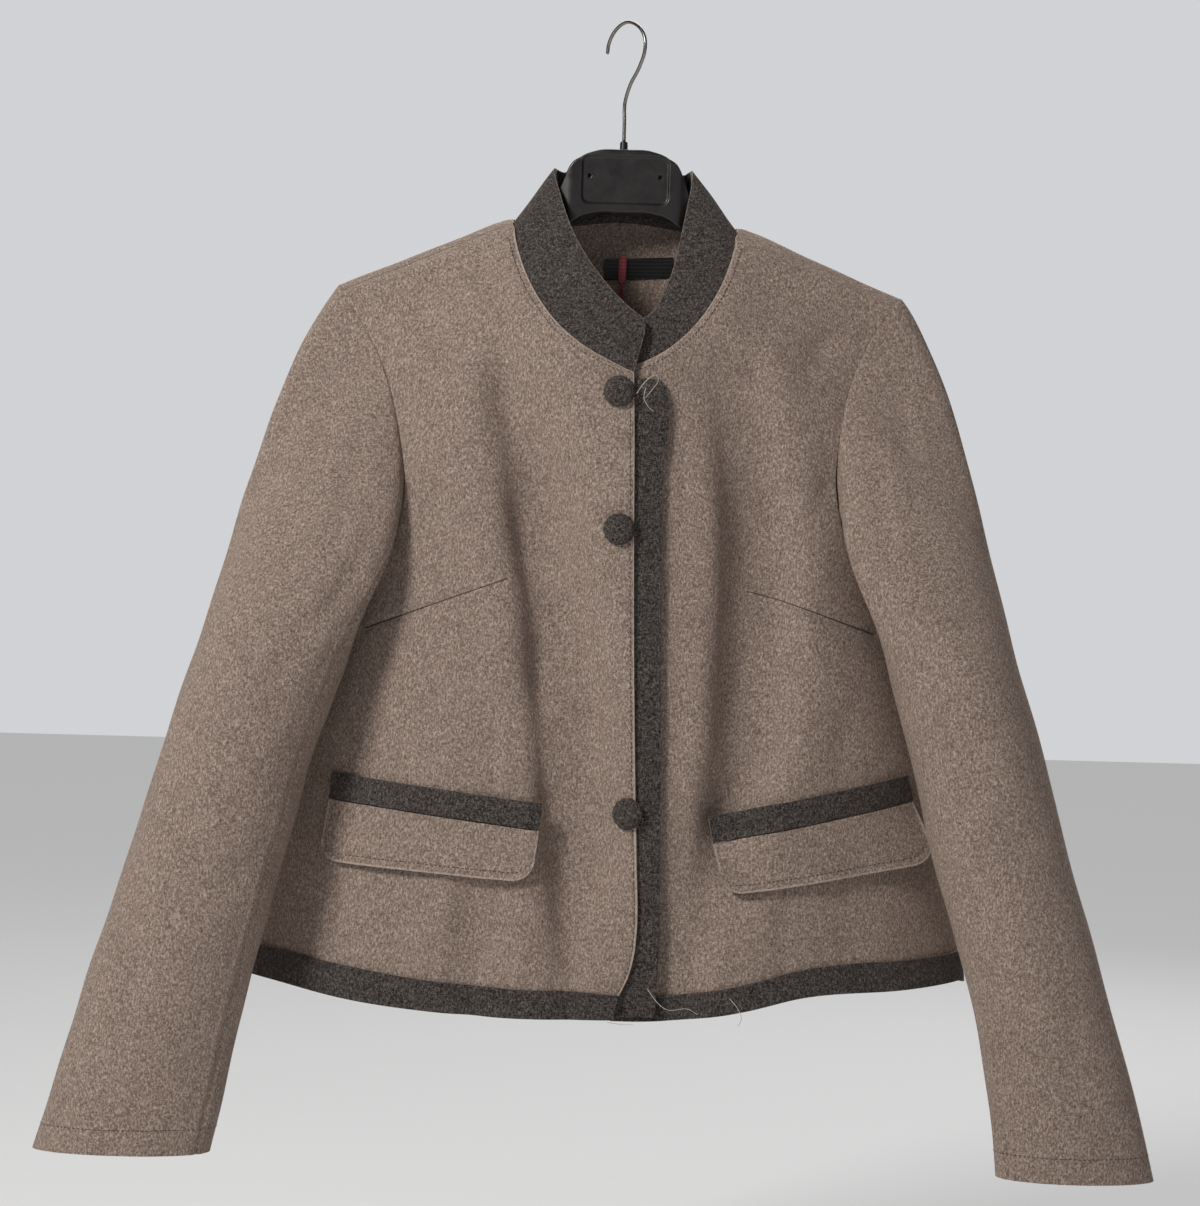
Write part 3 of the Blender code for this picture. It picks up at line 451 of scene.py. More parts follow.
def back_patch(u, v):
    """Turn and reach of the back, from one side to the other and from the shoulders to the hem."""
    side_turn = np.pi / 2 - SEAM_TURN

    def top(u):
        """Along one shoulder seam, round the back of the neck and along the other seam."""
        across = u * 2 - 1
        away = np.abs(across)
        side = np.where(across < 0, -1, 1)
        seam = -(SEAM_REACH - SEAM_HALF_GAP)
        out = np.zeros((len(u), 2))
        for s in (-1, 1):
            tip = np.arcsin(ARMHOLE_BACK[0][1] / CHEST_HALF)
            neck_turn, neck_reach = neck(NECK_SIDE * np.clip(away / 0.45, 0, 1), s)
            neck_reach = np.maximum(neck_reach, seam)
            corner = abs(neck(NECK_SIDE, s)[0])
            shoulder = corner + (tip - corner) * np.clip((away - 0.45) / 0.55, 0, 1)
            turn = np.where(away <= 0.45, np.abs(neck_turn), shoulder) * s
            reach = np.where(away <= 0.45, neck_reach, seam)
            out = np.where((side == s)[:, None], np.stack([turn, reach], -1), out)
        return out

    def hem(u):
        """Along the hem's table."""
        turn = (u * 2 - 1) * side_turn
        x = HEM_HALF * np.sin(turn)
        return pair((turn, place(x, table(np.abs(x), HEM[0], 0), True)[1]))

    def edge(side):
        """Down the armhole and the side seam of one side."""
        return lambda v: pair(side_edge(side, v, True))

    grid = coons(top, hem, edge(-1), edge(1), u, v)
    return grid[..., 0], grid[..., 1]


def relaxed(turn, reach, kept=3, rounds=1500):
    """The same patch with its inner points moved, so that its cells run evenly and don't fold over.

    Each round moves a point towards the mean of its neighbours, weighted by the squared steps across and down,
    less the patch's skew. The last rows stay as they are, so that a hem band keeps its height.
    """
    whole = np.stack([turn * CHEST_HALF, reach], -1)
    part = whole[: len(whole) - kept]
    for _ in range(rounds):
        across = (part[1:-1, 2:] - part[1:-1, :-2]) / 2
        along = (part[2:, 1:-1] - part[:-2, 1:-1]) / 2
        mixed = (part[2:, 2:] - part[2:, :-2] - part[:-2, 2:] + part[:-2, :-2]) / 4
        a = np.sum(along * along, -1, keepdims=True)
        b = np.sum(across * along, -1, keepdims=True)
        c = np.sum(across * across, -1, keepdims=True)
        sides = a * (part[1:-1, 2:] + part[1:-1, :-2]) + c * (part[2:, 1:-1] + part[:-2, 1:-1])
        part[1:-1, 1:-1] += 0.7 * ((sides - 2 * b * mixed) / (2 * (a + c)) - part[1:-1, 1:-1])
    return whole[..., 0] / CHEST_HALF, whole[..., 1]


def armhole_ring(side, turns):
    """Turn and reach round the armhole: 0 at the shoulder seam, through the front to 180 at the underarm."""
    share = np.asarray(turns, float) / 180.0
    front = side_edge(side, np.clip(share, 0, 1) * UNDERARM_SHARE, False)
    back = side_edge(side, np.clip(2 - share, 0, 1) * UNDERARM_SHARE, True)
    behind = share > 1
    return np.where(behind, back[0], front[0]), np.where(behind, back[1], front[1])


def sleeve_points(side, turns, rows_cap, rows_arm):
    """Outer points and normals of the sleeve tube at these turns, from the armhole to the cuff."""
    ring_turn, ring_reach = armhole_ring(side, turns)
    start = body(ring_turn, ring_reach)
    normal = body_normal(ring_turn, ring_reach)
    ahead = body(*armhole_ring(side, (turns + 0.8) % 360)) - body(*armhole_ring(side, (turns - 0.8) % 360))
    out = unit(np.cross(normal, ahead))
    out = out * np.sign(np.sum(out * (np.array([side * 230.0, -10.0, -320.0]) - start), -1, keepdims=True))
    proud = SLEEVE_PROUD * np.sin(np.radians(turns) / 2)
    start = start + ARMHOLE_GAP * out + proud[:, None] * normal

    angle = np.radians(turns + 35.0 * np.sin(np.radians(turns) / 2) ** 2)

    def section(down):
        """The oval section of the arm this far down, from its table."""
        x, y, half_x, half_y = np.moveaxis(table(down, SLEEVE[side]), -1, 0)
        px = side * (x + half_x * np.cos(angle))
        py = y - half_y * np.sin(angle)
        return np.stack([px, py, np.full(px.shape, -down)], -1)

    first, last = SLEEVE[side][0][0], SLEEVE[side][-1][0]
    end = section(first)
    leave = table(turns, SLEEVE_START) * np.array([side, 1, 1])
    chord = np.linalg.norm(end - start, axis=-1, keepdims=True)
    arrive = np.array(SLEEVE_AXIS) * np.array([side, 1, 1]) * chord
    grid = []
    for s in rows_cap:
        ends = (1 + 2 * s) * (1 - s) ** 2 * start + s * s * (3 - 2 * s) * end
        grid.append(ends + s * (1 - s) ** 2 * leave + s * s * (s - 1) * arrive)
    for s in rows_arm:
        grid.append(section(first + (last - first) * s))
    return np.array(grid), normal


def collar_points(side, turns, rows):
    """Outer points of half the collar: a row lapped inside the neck edge, then up to the top edge."""
    under = side > 0
    inside = -(WALL + COLLAR_GAP)
    end = turns[-1]
    lap = 1.5 + 6.0 * (1 - ease(turns, end - 22, end - 2)) * (0.25 + 0.75 * ease(turns, 60, 110))
    low = lifted(*neck(turns, side, lap), inside, under)
    edge = lifted(*neck(turns, side, 0.0), inside - 0.5, under)
    top = table(turns, COLLAR_TOP[side])
    corner = 9.0 if side < 0 else 4.0
    near = np.clip((turns - (end - 5.0)) / 5.0, 0, 1)
    length = np.linalg.norm(top - edge, axis=-1)
    height = (length - corner * (1 - np.sqrt(1 - near**2))) / length
    grid = [low]
    bow = unit(np.cross(top - edge, np.gradient(edge, axis=0)))
    bow = bow * np.sign(np.sum(bow * (edge - np.array([0, -10.0, -150.0])), -1, keepdims=True))
    for s in rows:
        share = (s * height)[:, None]
        grid.append(edge + (top - edge) * share + 1.5 * bow * np.sin(np.pi * share * 0.8))
    return np.array(grid)


def pocket_points(side, along, height, lift, hang=0.0):
    """Points of the front along a pocket. Along runs from the outer end, height down from its top edge."""
    row = POCKETS[side]
    outer, inner = np.array(row["outer"]), np.array(row["inner"])
    line = outer + (inner - outer) * along[..., None]
    direction = (inner - outer) / np.linalg.norm(inner - outer)
    across = np.array([-direction[1], direction[0]])
    across = across * np.sign(across[1])
    point = line + across * height[..., None]
    turn, reach = place(point[..., 0], point[..., 1])
    return on_cloth(turn, reach, lift + hang, side > 0, 0.55)


# Places of the colour sockets of a Mix node.
MIX_FIRST, MIX_SECOND, MIX_RESULT = 6, 7, 2


def linear(code):
    """Linear colour of an sRGB hex value: below 0.04045 a straight line, above it the power 2.4."""
    values = np.array([int(code[i : i + 2], 16) for i in (1, 3, 5)]) / 255
    return tuple(np.where(values <= 0.04045, values / 12.92, ((values + 0.055) / 1.055) ** 2.4))


def add_node(tree, kind, settings=None, links=None):
    """Adds a node, sets its properties or its sockets' values, and links its inputs from other sockets."""
    made = tree.nodes.new(kind)
    for name, value in (settings or {}).items():
        if name in made.inputs.keys() or isinstance(name, int):
            made.inputs[name].default_value = value
        else:
            setattr(made, name, value)
    for name, socket in (links or {}).items():
        tree.links.new(socket, made.inputs[name])
    return made


def colour_ramp(tree, factor, stops):
    """A ramp through (place, colour) stops."""
    made = add_node(tree, "ShaderNodeValToRGB", {}, {"Fac": factor})
    points = made.color_ramp.elements
    while len(points) < len(stops):
        points.new(0.5)
    for point, (place_on, colour) in zip(points, stops):
        point.position, point.color = place_on, (*colour, 1.0)
    return made


def new_material(name):
    """An empty material with its output and a Principled shader."""
    made = bpy.data.materials.new(name)
    made.use_nodes = True
    tree = made.node_tree
    tree.nodes.clear()
    shader = tree.nodes.new("ShaderNodeBsdfPrincipled")
    out = tree.nodes.new("ShaderNodeOutputMaterial")
    tree.links.new(shader.outputs[0], out.inputs["Surface"])
    return made, tree, shader


def start_finish(name):
    """A new material, its Principled shader, and a source of the object's own coordinates."""
    made, tree, shader = new_material(name)
    return made, tree, shader, add_node(tree, "ShaderNodeTexCoord").outputs["Object"]


def grain(tree, at, size, detail, **settings):
    """Noise with spots of about this size in metres, as a value from 0 to 1."""
    chosen = {"Scale": 1 / size, "Detail": detail, **settings}
    return add_node(tree, "ShaderNodeTexNoise", chosen, {"Vector": at}).outputs["Fac"]


def stretched(tree, at, size, turn=(0.0, 0.0, 0.0)):
    """The coordinates turned, and measured in units of this size in metres along each axis."""
    settings = {"Rotation": turn, "Scale": tuple(1 / length for length in size)}
    return add_node(tree, "ShaderNodeMapping", settings, {"Vector": at}).outputs[0]


def ranged(tree, value, low, high, least, most):
    """The value's range from low to high, stretched to least to most."""
    settings = {"From Min": low, "From Max": high, "To Min": least, "To Max": most}
    return add_node(tree, "ShaderNodeMapRange", settings, {"Value": value}).outputs[0]


def joined(tree, operation, one, other):
    """Two values put together by a plain sum."""
    return add_node(tree, "ShaderNodeMath", {"operation": operation}, {0: one, 1: other}).outputs[0]


def end_finish(tree, shader, colour, height, strength, depth, **values):
    """Links the colour and a bump of this depth in metres, and sets the shader's own values."""
    bump = add_node(tree, "ShaderNodeBump", {"Strength": strength, "Distance": depth}, {"Height": height})
    tree.links.new(bump.outputs[0], shader.inputs["Normal"])
    if colour is not None:
        tree.links.new(colour, shader.inputs["Base Color"])
    for word, value in values.items():
        shader.inputs[word.replace("_", " ")].default_value = value


def shades(colour, deep, pale):
    """The colour made deeper and paler by two factors."""
    return tuple(c * deep for c in colour), tuple(min(c * pale, 1) for c in colour)


def felted_wool(name, base, light, dark, fibre_share, sheen):
    """Pressed wool felt spun from mixed fibres: dull, soft, mottled at 1 mm, with single hairs lying over it.

    A real hair is 0.05 mm thick. Here it is drawn 0.3 mm thick and some 3 mm long, so that it shows.
    """
    made, tree, shader, at = start_finish(name)
    tufts = grain(tree, stretched(tree, at, (0.0012, 0.0012, 0.0022)), 1.0, 4.0, Roughness=0.7)
    clouds = grain(tree, at, 0.022, 3.0, Roughness=0.6)
    hairs = None
    for turn, thin in (((0.4, 0.2, 0.5), 1.0), ((-0.3, 0.6, -0.7), 1.1), ((0.2, -0.5, 1.5), 0.9)):
        bent = grain(tree, stretched(tree, at, (0.0032, 0.0005, 0.0005), turn), 1 / thin, 1.0, Distortion=0.6)
        hairs = bent if hairs is None else joined(tree, "MAXIMUM", hairs, bent)
    mottled = colour_ramp(tree, tufts, ((0.35, dark), (0.50, base), (0.65, light)))
    shown = ranged(tree, hairs, 0.56, 0.68, 0.0, fibre_share)
    mixed = {"data_type": "RGBA", MIX_SECOND: (*light, 1.0)}
    haired = add_node(tree, "ShaderNodeMix", mixed, {"Factor": shown, MIX_FIRST: mottled.outputs[0]})
    tone = ranged(tree, clouds, 0.3, 0.7, 0.94, 1.06)
    toned = add_node(
        tree, "ShaderNodeVectorMath", {"operation": "SCALE"}, {0: haired.outputs[MIX_RESULT], "Scale": tone}
    )
    end_finish(
        tree, shader, toned.outputs[0], joined(tree, "ADD", tufts, shown), 0.9, 0.0005,
        Roughness=0.96, Specular_IOR_Level=0.15, Sheen_Weight=sheen, Sheen_Roughness=0.6, Sheen_Tint=(*light, 1.0),
    )
    return made


def spun_thread(name, colour):
    """Twisted polyester sewing thread: a low gloss broken by the twist, drawn at 0.5 mm."""
    made, tree, shader, at = start_finish(name)
    twist = grain(tree, at, 0.0005, 1.0)
    deep, pale = shades(colour, 0.7, 1.25)
    tone = colour_ramp(tree, twist, ((0.3, deep), (0.7, pale)))
    end_finish(tree, shader, tone.outputs[0], twist, 0.5, 0.0002, Roughness=0.6, Sheen_Weight=0.2)
    return made


def woven_satin(name, colour, gloss):
    """Narrow woven satin tape: fine threads across it, 0.4 mm apart, with a soft shine along them."""
    made, tree, shader, at = start_finish(name)
    wave = {"bands_direction": "Z", "Scale": 1 / (0.4 * MM * 20), "Distortion": 0.4}
    ribs = add_node(tree, "ShaderNodeTexWave", wave, {"Vector": at}).outputs["Fac"]
    both = joined(tree, "ADD", ribs, grain(tree, at, 0.0015, 2.0))
    deep, pale = shades(colour, 0.65, 1.3)
    tone = colour_ramp(tree, both, ((0.3, deep), (1.0, pale)))
    end_finish(tree, shader, tone.outputs[0], both, 0.4, 0.0002, Roughness=gloss, Sheen_Weight=0.3)
    return made


def moulded_polystyrene(name, colour):
    """Injection-moulded polystyrene: a smooth skin with a faint orange-peel and a few rubbed spots."""
    made, tree, shader, at = start_finish(name)
    peel = grain(tree, at, 0.0012, 2.0)
    rubbed = grain(tree, at, 0.018, 5.0, Roughness=0.7)
    tree.links.new(ranged(tree, rubbed, 0.35, 0.7, 0.30, 0.50), shader.inputs["Roughness"])
    tone = colour_ramp(tree, rubbed, ((0.35, colour), (0.75, tuple(c * 1.5 for c in colour))))
    end_finish(tree, shader, tone.outputs[0], peel, 0.15, 0.0002, IOR=1.59)
    return made


def drawn_steel(name, colour):
    """Bright zinc-plated steel wire, drawn through a die: fine lines along it and a soft, uneven shine."""
    made, tree, shader, at = start_finish(name)
    lines = grain(tree, at, 0.0008, 3.0)
    tree.links.new(ranged(tree, lines, 0.3, 0.7, 0.18, 0.38), shader.inputs["Roughness"])
    end_finish(tree, shader, None, lines, 0.2, 0.0001, Base_Color=(*colour, 1.0), Metallic=1.0)
    return made


@functools.lru_cache(maxsize=None)
def finish(kind):
    """The material of this finish, made once from the colours in the panel."""
    group = bpy.context.scene.jacket_colours
    tint = {word: tuple(getattr(group, word)) for word in group.__annotations__}
    felt, pale = tint["felt"], tint["felt_light"]
    coal, ash = tint["charcoal"], tint["charcoal_light"]
    makers = {
        "felt": lambda: felted_wool("taupe_wool_felt_pressed", felt, pale, tint["felt_dark"], 0.45, 0.25),
        "felt_cut": lambda: felted_wool("taupe_wool_felt_raw_cut", tint["raw_edge"], pale, felt, 0.5, 0.2),
        "charcoal": lambda: felted_wool("charcoal_wool_felt_pressed", coal, ash, tint["charcoal_dark"], 0.55, 0.25),
        "charcoal_cut": lambda: felted_wool("charcoal_wool_felt_raw_cut", ash, shades(ash, 1, 1.5)[1], coal, 0.5, 0.2),
        "brown_thread": lambda: spun_thread("brown_polyester_thread_spun", tint["brown_thread"]),
        "black_thread": lambda: spun_thread("black_polyester_thread_spun", tint["black_thread"]),
        "pale_thread": lambda: spun_thread("undyed_cotton_thread_spun", tint["pale_thread"]),
        "label": lambda: woven_satin("black_polyester_label_woven", linear("#0e0d0e"), 0.42),
        "ribbon": lambda: woven_satin("red_polyester_ribbon_woven", tint["ribbon"], 0.5),
        "plastic": lambda: moulded_polystyrene("black_polystyrene_moulded", linear("#150f0f")),
        "steel": lambda: drawn_steel("zinc_plated_steel_wire_drawn", linear("#8e8985")),
    }
    return makers[kind]()


def closed_round(grid):
    """The grid with its first column again after its last."""
    return np.concatenate([grid, grid[:, :1]], 1)


def quads_of(index):
    """Corners of every cell of a grid of vertex numbers."""
    return np.stack([index[:-1, :-1], index[1:, :-1], index[1:, 1:], index[:-1, 1:]], -1).reshape(-1, 4)


def linked(name, data):
    """A new object of this data in the scene."""
    made = bpy.data.objects.new(name, data)
    bpy.context.scene.collection.objects.link(made)
    return made


def put_mesh(name, points, faces, materials, slots=None, smooth=True, crease=40.0):
    """An object whose mesh holds these points, in mm, and four-cornered faces, each with its material's number."""
    mesh = bpy.data.meshes.new(name)
    mesh.vertices.add(len(points))
    mesh.vertices.foreach_set("co", (points * MM).astype(np.float32).ravel())
    mesh.loops.add(faces.size)
    mesh.loops.foreach_set("vertex_index", faces.astype(np.int32).ravel())
    mesh.polygons.add(len(faces))
    mesh.polygons.foreach_set("loop_start", np.arange(0, faces.size, faces.shape[1], dtype=np.int32))
    for kind in materials:
        mesh.materials.append(finish(kind))
    if slots is not None:
        mesh.polygons.foreach_set("material_index", slots.astype(np.int32))
    mesh.polygons.foreach_set("use_smooth", np.full(len(faces), smooth))
    mesh.update(calc_edges=True)
    mesh.validate()
    if smooth:
        mesh.set_sharp_from_angle(angle=np.radians(crease))
    made = linked(name, mesh)
    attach(made, "root")
    return made


def compact(points, faces):
    """The points that the faces use, and the faces with those points' new numbers, turned outwards."""
    used = np.unique(faces)
    fresh = np.zeros(len(points), int)
    fresh[used] = np.arange(len(used))
    return points[used], outward(points[used], fresh[faces])


def outward(points, faces):
    """The faces, turned over if the closed body they make is inside out: its volume is the sum of cone volumes."""
    a, b, c = points[faces[:, 0]], points[faces[:, 1]], points[faces[:, 2]]
    volume = np.einsum("ij,ij->i", a, np.cross(b, c)).sum()
    if faces.shape[1] == 4:
        volume += np.einsum("ij,ij->i", a, np.cross(c, points[faces[:, 3]])).sum()
    return faces if volume > 0 else faces[:, ::-1]


def shell(name, outer, inner, materials, ring=False, cut=None):
    """Cloth of two faces: a grid of outer points, the same grid moved in, and a rim of the cut edge between them.

    The outer cells marked as cut take the finish of the rim, as the fibres stand up along a raw edge.
    """
    if ring:
        outer, inner = closed_round(outer), closed_round(inner)
    rows, columns = outer.shape[:2]
    count = rows * columns
    index = np.arange(count).reshape(rows, columns)
    if ring:
        index[:, -1] = index[:, 0]
    sheet = quads_of(index)
    borders = [index[0], index[-1][::-1]] + ([] if ring else [index[:, -1], index[:, 0][::-1]])
    rim = [np.stack([line[:-1], line[1:], line[1:] + count, line[:-1] + count], -1) for line in borders]
    faces = np.concatenate([sheet, sheet[:, ::-1] + count, *rim])
    points = np.concatenate([outer.reshape(-1, 3), inner.reshape(-1, 3)])
    marked = np.zeros(len(sheet)) if cut is None else cut.ravel()
    slots = np.concatenate([marked, np.zeros(len(sheet)), np.ones(len(faces) - 2 * len(sheet))])
    return put_mesh(name, *compact(points, faces), materials, slots)


def cross_of(grid, hint):
    """Unit normals of a grid of points: the cross product of its two gradients, turned to the side of the hint."""
    normal = unit(np.cross(np.gradient(grid, axis=1), np.gradient(grid, axis=0)))
    return normal * np.sign(np.sum(normal * hint) or 1.0)


def cut_size(grid):
    """Flat size of a cloth grid in metres: its longest row, its longest column and the sum of its cells."""
    across = np.linalg.norm(np.diff(grid, axis=1), axis=-1).sum(axis=1).max() * MM
    down = np.linalg.norm(np.diff(grid, axis=0), axis=-1).sum(axis=0).max() * MM
    one = np.cross(grid[1:, 1:] - grid[:-1, :-1], grid[:-1, 1:] - grid[1:, :-1])
    area = np.linalg.norm(one, axis=-1).sum() / 2 * MM * MM
    return float(across), float(down), float(area)


def hang_cloth(grid, nodes):
    """The piece stands for its solids, which are hidden. Its flat size is worked out and its area held between three
    tenths and all of its width times its length, but neither is used.
    """
    across, down, area = cut_size(grid)
    area = float(np.clip(area, 0.31 * across * down, across * down))
    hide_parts(*nodes)


@functools.lru_cache(maxsize=None)
def even_patch(side):
    """Turn and reach of a panel on an even grid without folds: -1 and 1 are the fronts, 0 is the back."""
    patch = back_patch if side == 0 else functools.partial(front_patch, side)
    return relaxed(*patch(np.linspace(0, 1, 41), np.linspace(0, 1, 61)))


def patch_at(side, u, v):
    """Turn and reach of a panel at these shares across and down it.

    The even grid is moved onto the exact edges by a shift that fades out over a twentieth of the panel.
    """
    patch = back_patch if side == 0 else functools.partial(front_patch, side)
    exact = patch(u, v)
    found = []
    for even, edges in zip(even_patch(side), exact):
        rows = table(v, np.column_stack([np.linspace(0, 1, 61), even]))
        made = table(u, np.column_stack([np.linspace(0, 1, 41), rows.T])).T
        if v[0] == 0:
            made = made + (edges[0] - made[0]) * (1 - ease(v, 0, 0.05))[:, None]
        if v[-1] == 1:
            made = made + (edges[-1] - made[-1]) * ease(v, 0.95, 1)[:, None]
        made = made + (edges[:, :1] - made[:, :1]) * (1 - ease(u, 0, 0.05))
        made = made + (edges[:, -1:] - made[:, -1:]) * ease(u, 0.95, 1)
        found.append(made)
    return found


# Creases, given one by one. Ends as x, down, x, down, then depth inwards (minus for a ridge) and half width.
FRONT_CREASES = (
    (-88, 230, -50, 410, 8.0, 15), (-63, 350, -40, 490, 9.5, 15), (-48, 430, -31, 610, 9.5, 15),
    (-33, 540, -23, 715, 8.0, 13), (73, 230, 92, 410, 8.0, 17), (90, 350, 91, 510, 9.5, 17),
    (92, 440, 77, 590, 8.0, 15), (76, 540, 62, 715, 3.5, 12), (-94, 250, -84, 330, 2.2, 12),
    (-71, 500, -73, 575, -1.6, 5), (-52, 560, -56, 625, -1.2, 5), (-57, 640, -60, 700, -1.8, 6),
    (-95, 590, -104, 690, 1.6, 9), (-130, 615, -150, 690, 1.4, 12), (-168, 500, -150, 560, 1.5, 12),
    (-140, 205, -120, 262, 2.2, 10), (-86, 215, -70, 300, 1.8, 12), (150, 212, 132, 262, 2.2, 10),
    (98, 225, 92, 300, 1.6, 12), (178, 470, 158, 545, 1.6, 11), (120, 610, 132, 690, 1.5, 10),
    (160, 600, 182, 680, 1.3, 12), (48, 500, 52, 640, 1.4, 9), (62, 420, 58, 560, -1.0, 9),
    (-20, 420, -12, 540, 1.2, 7), (-148, 330, -122, 372, 1.8, 8), (156, 320, 130, 365, 1.8, 8),
    (-108, 250, -96, 320, -1.2, 14), (118, 250, 108, 330, -1.2, 14),
)
BACK_CREASES = (
    (-150, 200, -118, 265, 1.8, 12), (150, 202, 118, 268, 1.8, 12), (-30, 190, -44, 300, 1.4, 13),
    (36, 196, 46, 310, 1.4, 13), (-160, 330, -120, 400, 1.8, 11), (160, 330, 124, 395, 1.8, 11),
    (-5, 420, -14, 640, 1.6, 14), (-110, 520, -120, 680, 1.4, 10), (112, 500, 130, 680, 1.4, 11),
    (-196, 470, -180, 600, 1.3, 10), (198, 480, 184, 610, 1.3, 10), (24, 560, 30, 690, -1.2, 10),
)
# Stitched bust darts: x and down of the wide end and of the tip.
DARTS = ((-174.0, 439.7, -70.7, 401.3), (186.5, 435.2, 97.5, 406.0))


def from_line(x, down, x0, d0, x1, d1):
    """Share of the way along a line where a point stands beside it, and its distance from the line."""
    run = np.array([x1 - x0, d1 - d0])
    share = ((x - x0) * run[0] + (down - d0) * run[1]) / (run @ run)
    return share, ((x - x0) * run[1] - (down - d0) * run[0]) / np.linalg.norm(run)


def along_lines(x, down, rows):
    """Sum over the rows of depth times a bell of the distance to a wandering line, faded towards both its ends."""
    total = np.zeros(np.broadcast(x, down).shape)
    for *line, depth, width in rows:
        share, away = from_line(x, down, *line)
        wander = 2.0 * np.sin(share * 5.0 + line[0])
        fade = ease(share, -0.15, 0.35) * (1 - ease(share, 0.65, 1.15))
        total = total + depth * fade * bell(away - wander, width)
    return total


def uneven(points):
    """Slight unevenness of hung felt: crossed sine waves, 55 to 150 mm long and up to 0.8 mm high in all."""
    x, y, z = np.moveaxis(points, -1, 0)
    total = 0.5 * np.sin(x / 19 + 1.3 * np.sin(z / 47)) * np.sin(z / 24 + 0.7)
    total = total + 0.35 * np.sin((x + z) / 13 + np.sin(y / 30)) + 0.3 * np.sin((x - 0.6 * z) / 10.5 + 2.0)
    return total * 0.7


def dart_groove(x, down):
    """Depth of the groove sewn along each dart, 2 mm wide in a low swell, both running out at the tip."""
    total = np.zeros(np.broadcast(x, down).shape)
    for line in DARTS:
        share, away = from_line(x, down, *line)
        total = total + 1.3 * ease(share, -0.02, 0.02) * (1 - ease(share, 0.75, 1.02)) * bell(away, 2.0)
        total = total - 0.8 * ease(share, -0.05, 0.1) * (1 - ease(share, 0.6, 1.0)) * bell(away, 9.0)
    return total


def relief(points, behind):
    """How far the cloth stands out from its smooth form: creases, darts, unevenness and a dip at each neck corner."""
    strength = cloth_sizes().crease_strength
    x, down = points[..., 0], -points[..., 2]
    neck_corner = 1.3 * np.exp(-(((np.abs(x) - 77.0) / 8.0) ** 2) - (points[..., 1] / 16.0) ** 2)
    creased = strength * (uneven(points) - along_lines(x, down, BACK_CREASES if behind else FRONT_CREASES))
    return creased - neck_corner if behind else creased - dart_groove(x, down) - neck_corner


def on_cloth(turn, reach, lift, under=False, folds=1.0):
    """Points of the body's cloth, moved out along its normal by the lift, with the relief under them.

    Folds is the share of the troughs and creases that the piece follows.
    """
    points = body(turn, reach, under, folds)
    behind = bool(np.mean(reach) > 0)
    normal = body_normal(turn, reach, under, folds)
    creases = relief(points, behind)
    away = np.asarray(lift, float) + np.where(creases < 0, creases * folds, creases)
    return points + away[..., None] * normal


def shares(number, first=0.0, last=0.0):
    """Even shares from 0 to 1, with a narrow cell of its own at an end where a share is given."""
    values = np.linspace(0, 1, number)
    extra = [share for share in (first, 1 - last) if 0 < share < 1]
    return np.unique(np.concatenate([values, extra]))


def cut_cells(rows, columns, top=False, bottom=False, left=False, right=False):
    """Marks the outermost cells of a grid, on the sides that are raw edges."""
    marked = np.zeros((rows - 1, columns - 1), bool)
    marked[0, :] |= top
    marked[-1, :] |= bottom
    marked[:, 0] |= left
    marked[:, -1] |= right
    return marked


# Finishes of the face and of the raw edge.
FELT, TRIM = ("felt", "felt_cut"), ("charcoal", "charcoal_cut")


def cloth_sizes():
    """The measures in the panel."""
    return bpy.context.scene.jacket_cloth


def walls():
    """Thickness of the felt and of the trims, in mm."""
    return cloth_sizes().felt_wall / MM, cloth_sizes().trim_wall / MM


def walled(outer, hint, wall):
    """The outer points and the same points moved in along the grid's own normals by the wall."""
    return outer, outer - wall * cross_of(outer, hint)


def make_panel(name, side, columns, rows, node):
    """A panel: its patch of the body moved out by the relief, and the same points moved in by the wall.

    The cut cells are those of the neck's and the free edge's raw edges.
    """
    wall = walls()[0]
    u, v = shares(columns, 0.0 if side == 0 else 0.0032), shares(rows, 0.0017)
    turn, reach = patch_at(side, u, v)
    outer = on_cloth(turn, reach, 0.0, side > 0)
    outer, inner = walled(outer, body_normal(turn, reach, side > 0), wall)
    pressed = 0.35 + 0.65 * ease(v, 0.0, 0.011)[:, None, None]  # thinner where it is sewn on
    outer = inner + (outer - inner) * pressed
    cut = cut_cells(len(v), len(u), top=True, left=side != 0)
    cut[0] &= np.abs(u[1:] - 0.5) < 0.225 if side == 0 else u[1:] <= 0.5
    made = shell(name, outer, inner, FELT, cut=cut)
    hang_cloth(outer, (node,))


def ring_normals(points):
    """Unit normals of a closed tube of points, pointing away from its middle line."""
    across = np.roll(points, -1, 1) - np.roll(points, 1, 1)
    normal = unit(np.cross(across, np.gradient(points, axis=0)))
    lower = points[len(points) // 2 :]
    away = lower - lower.mean(axis=1, keepdims=True)
    return normal * np.sign(np.sum(normal[len(points) // 2 :] * away))


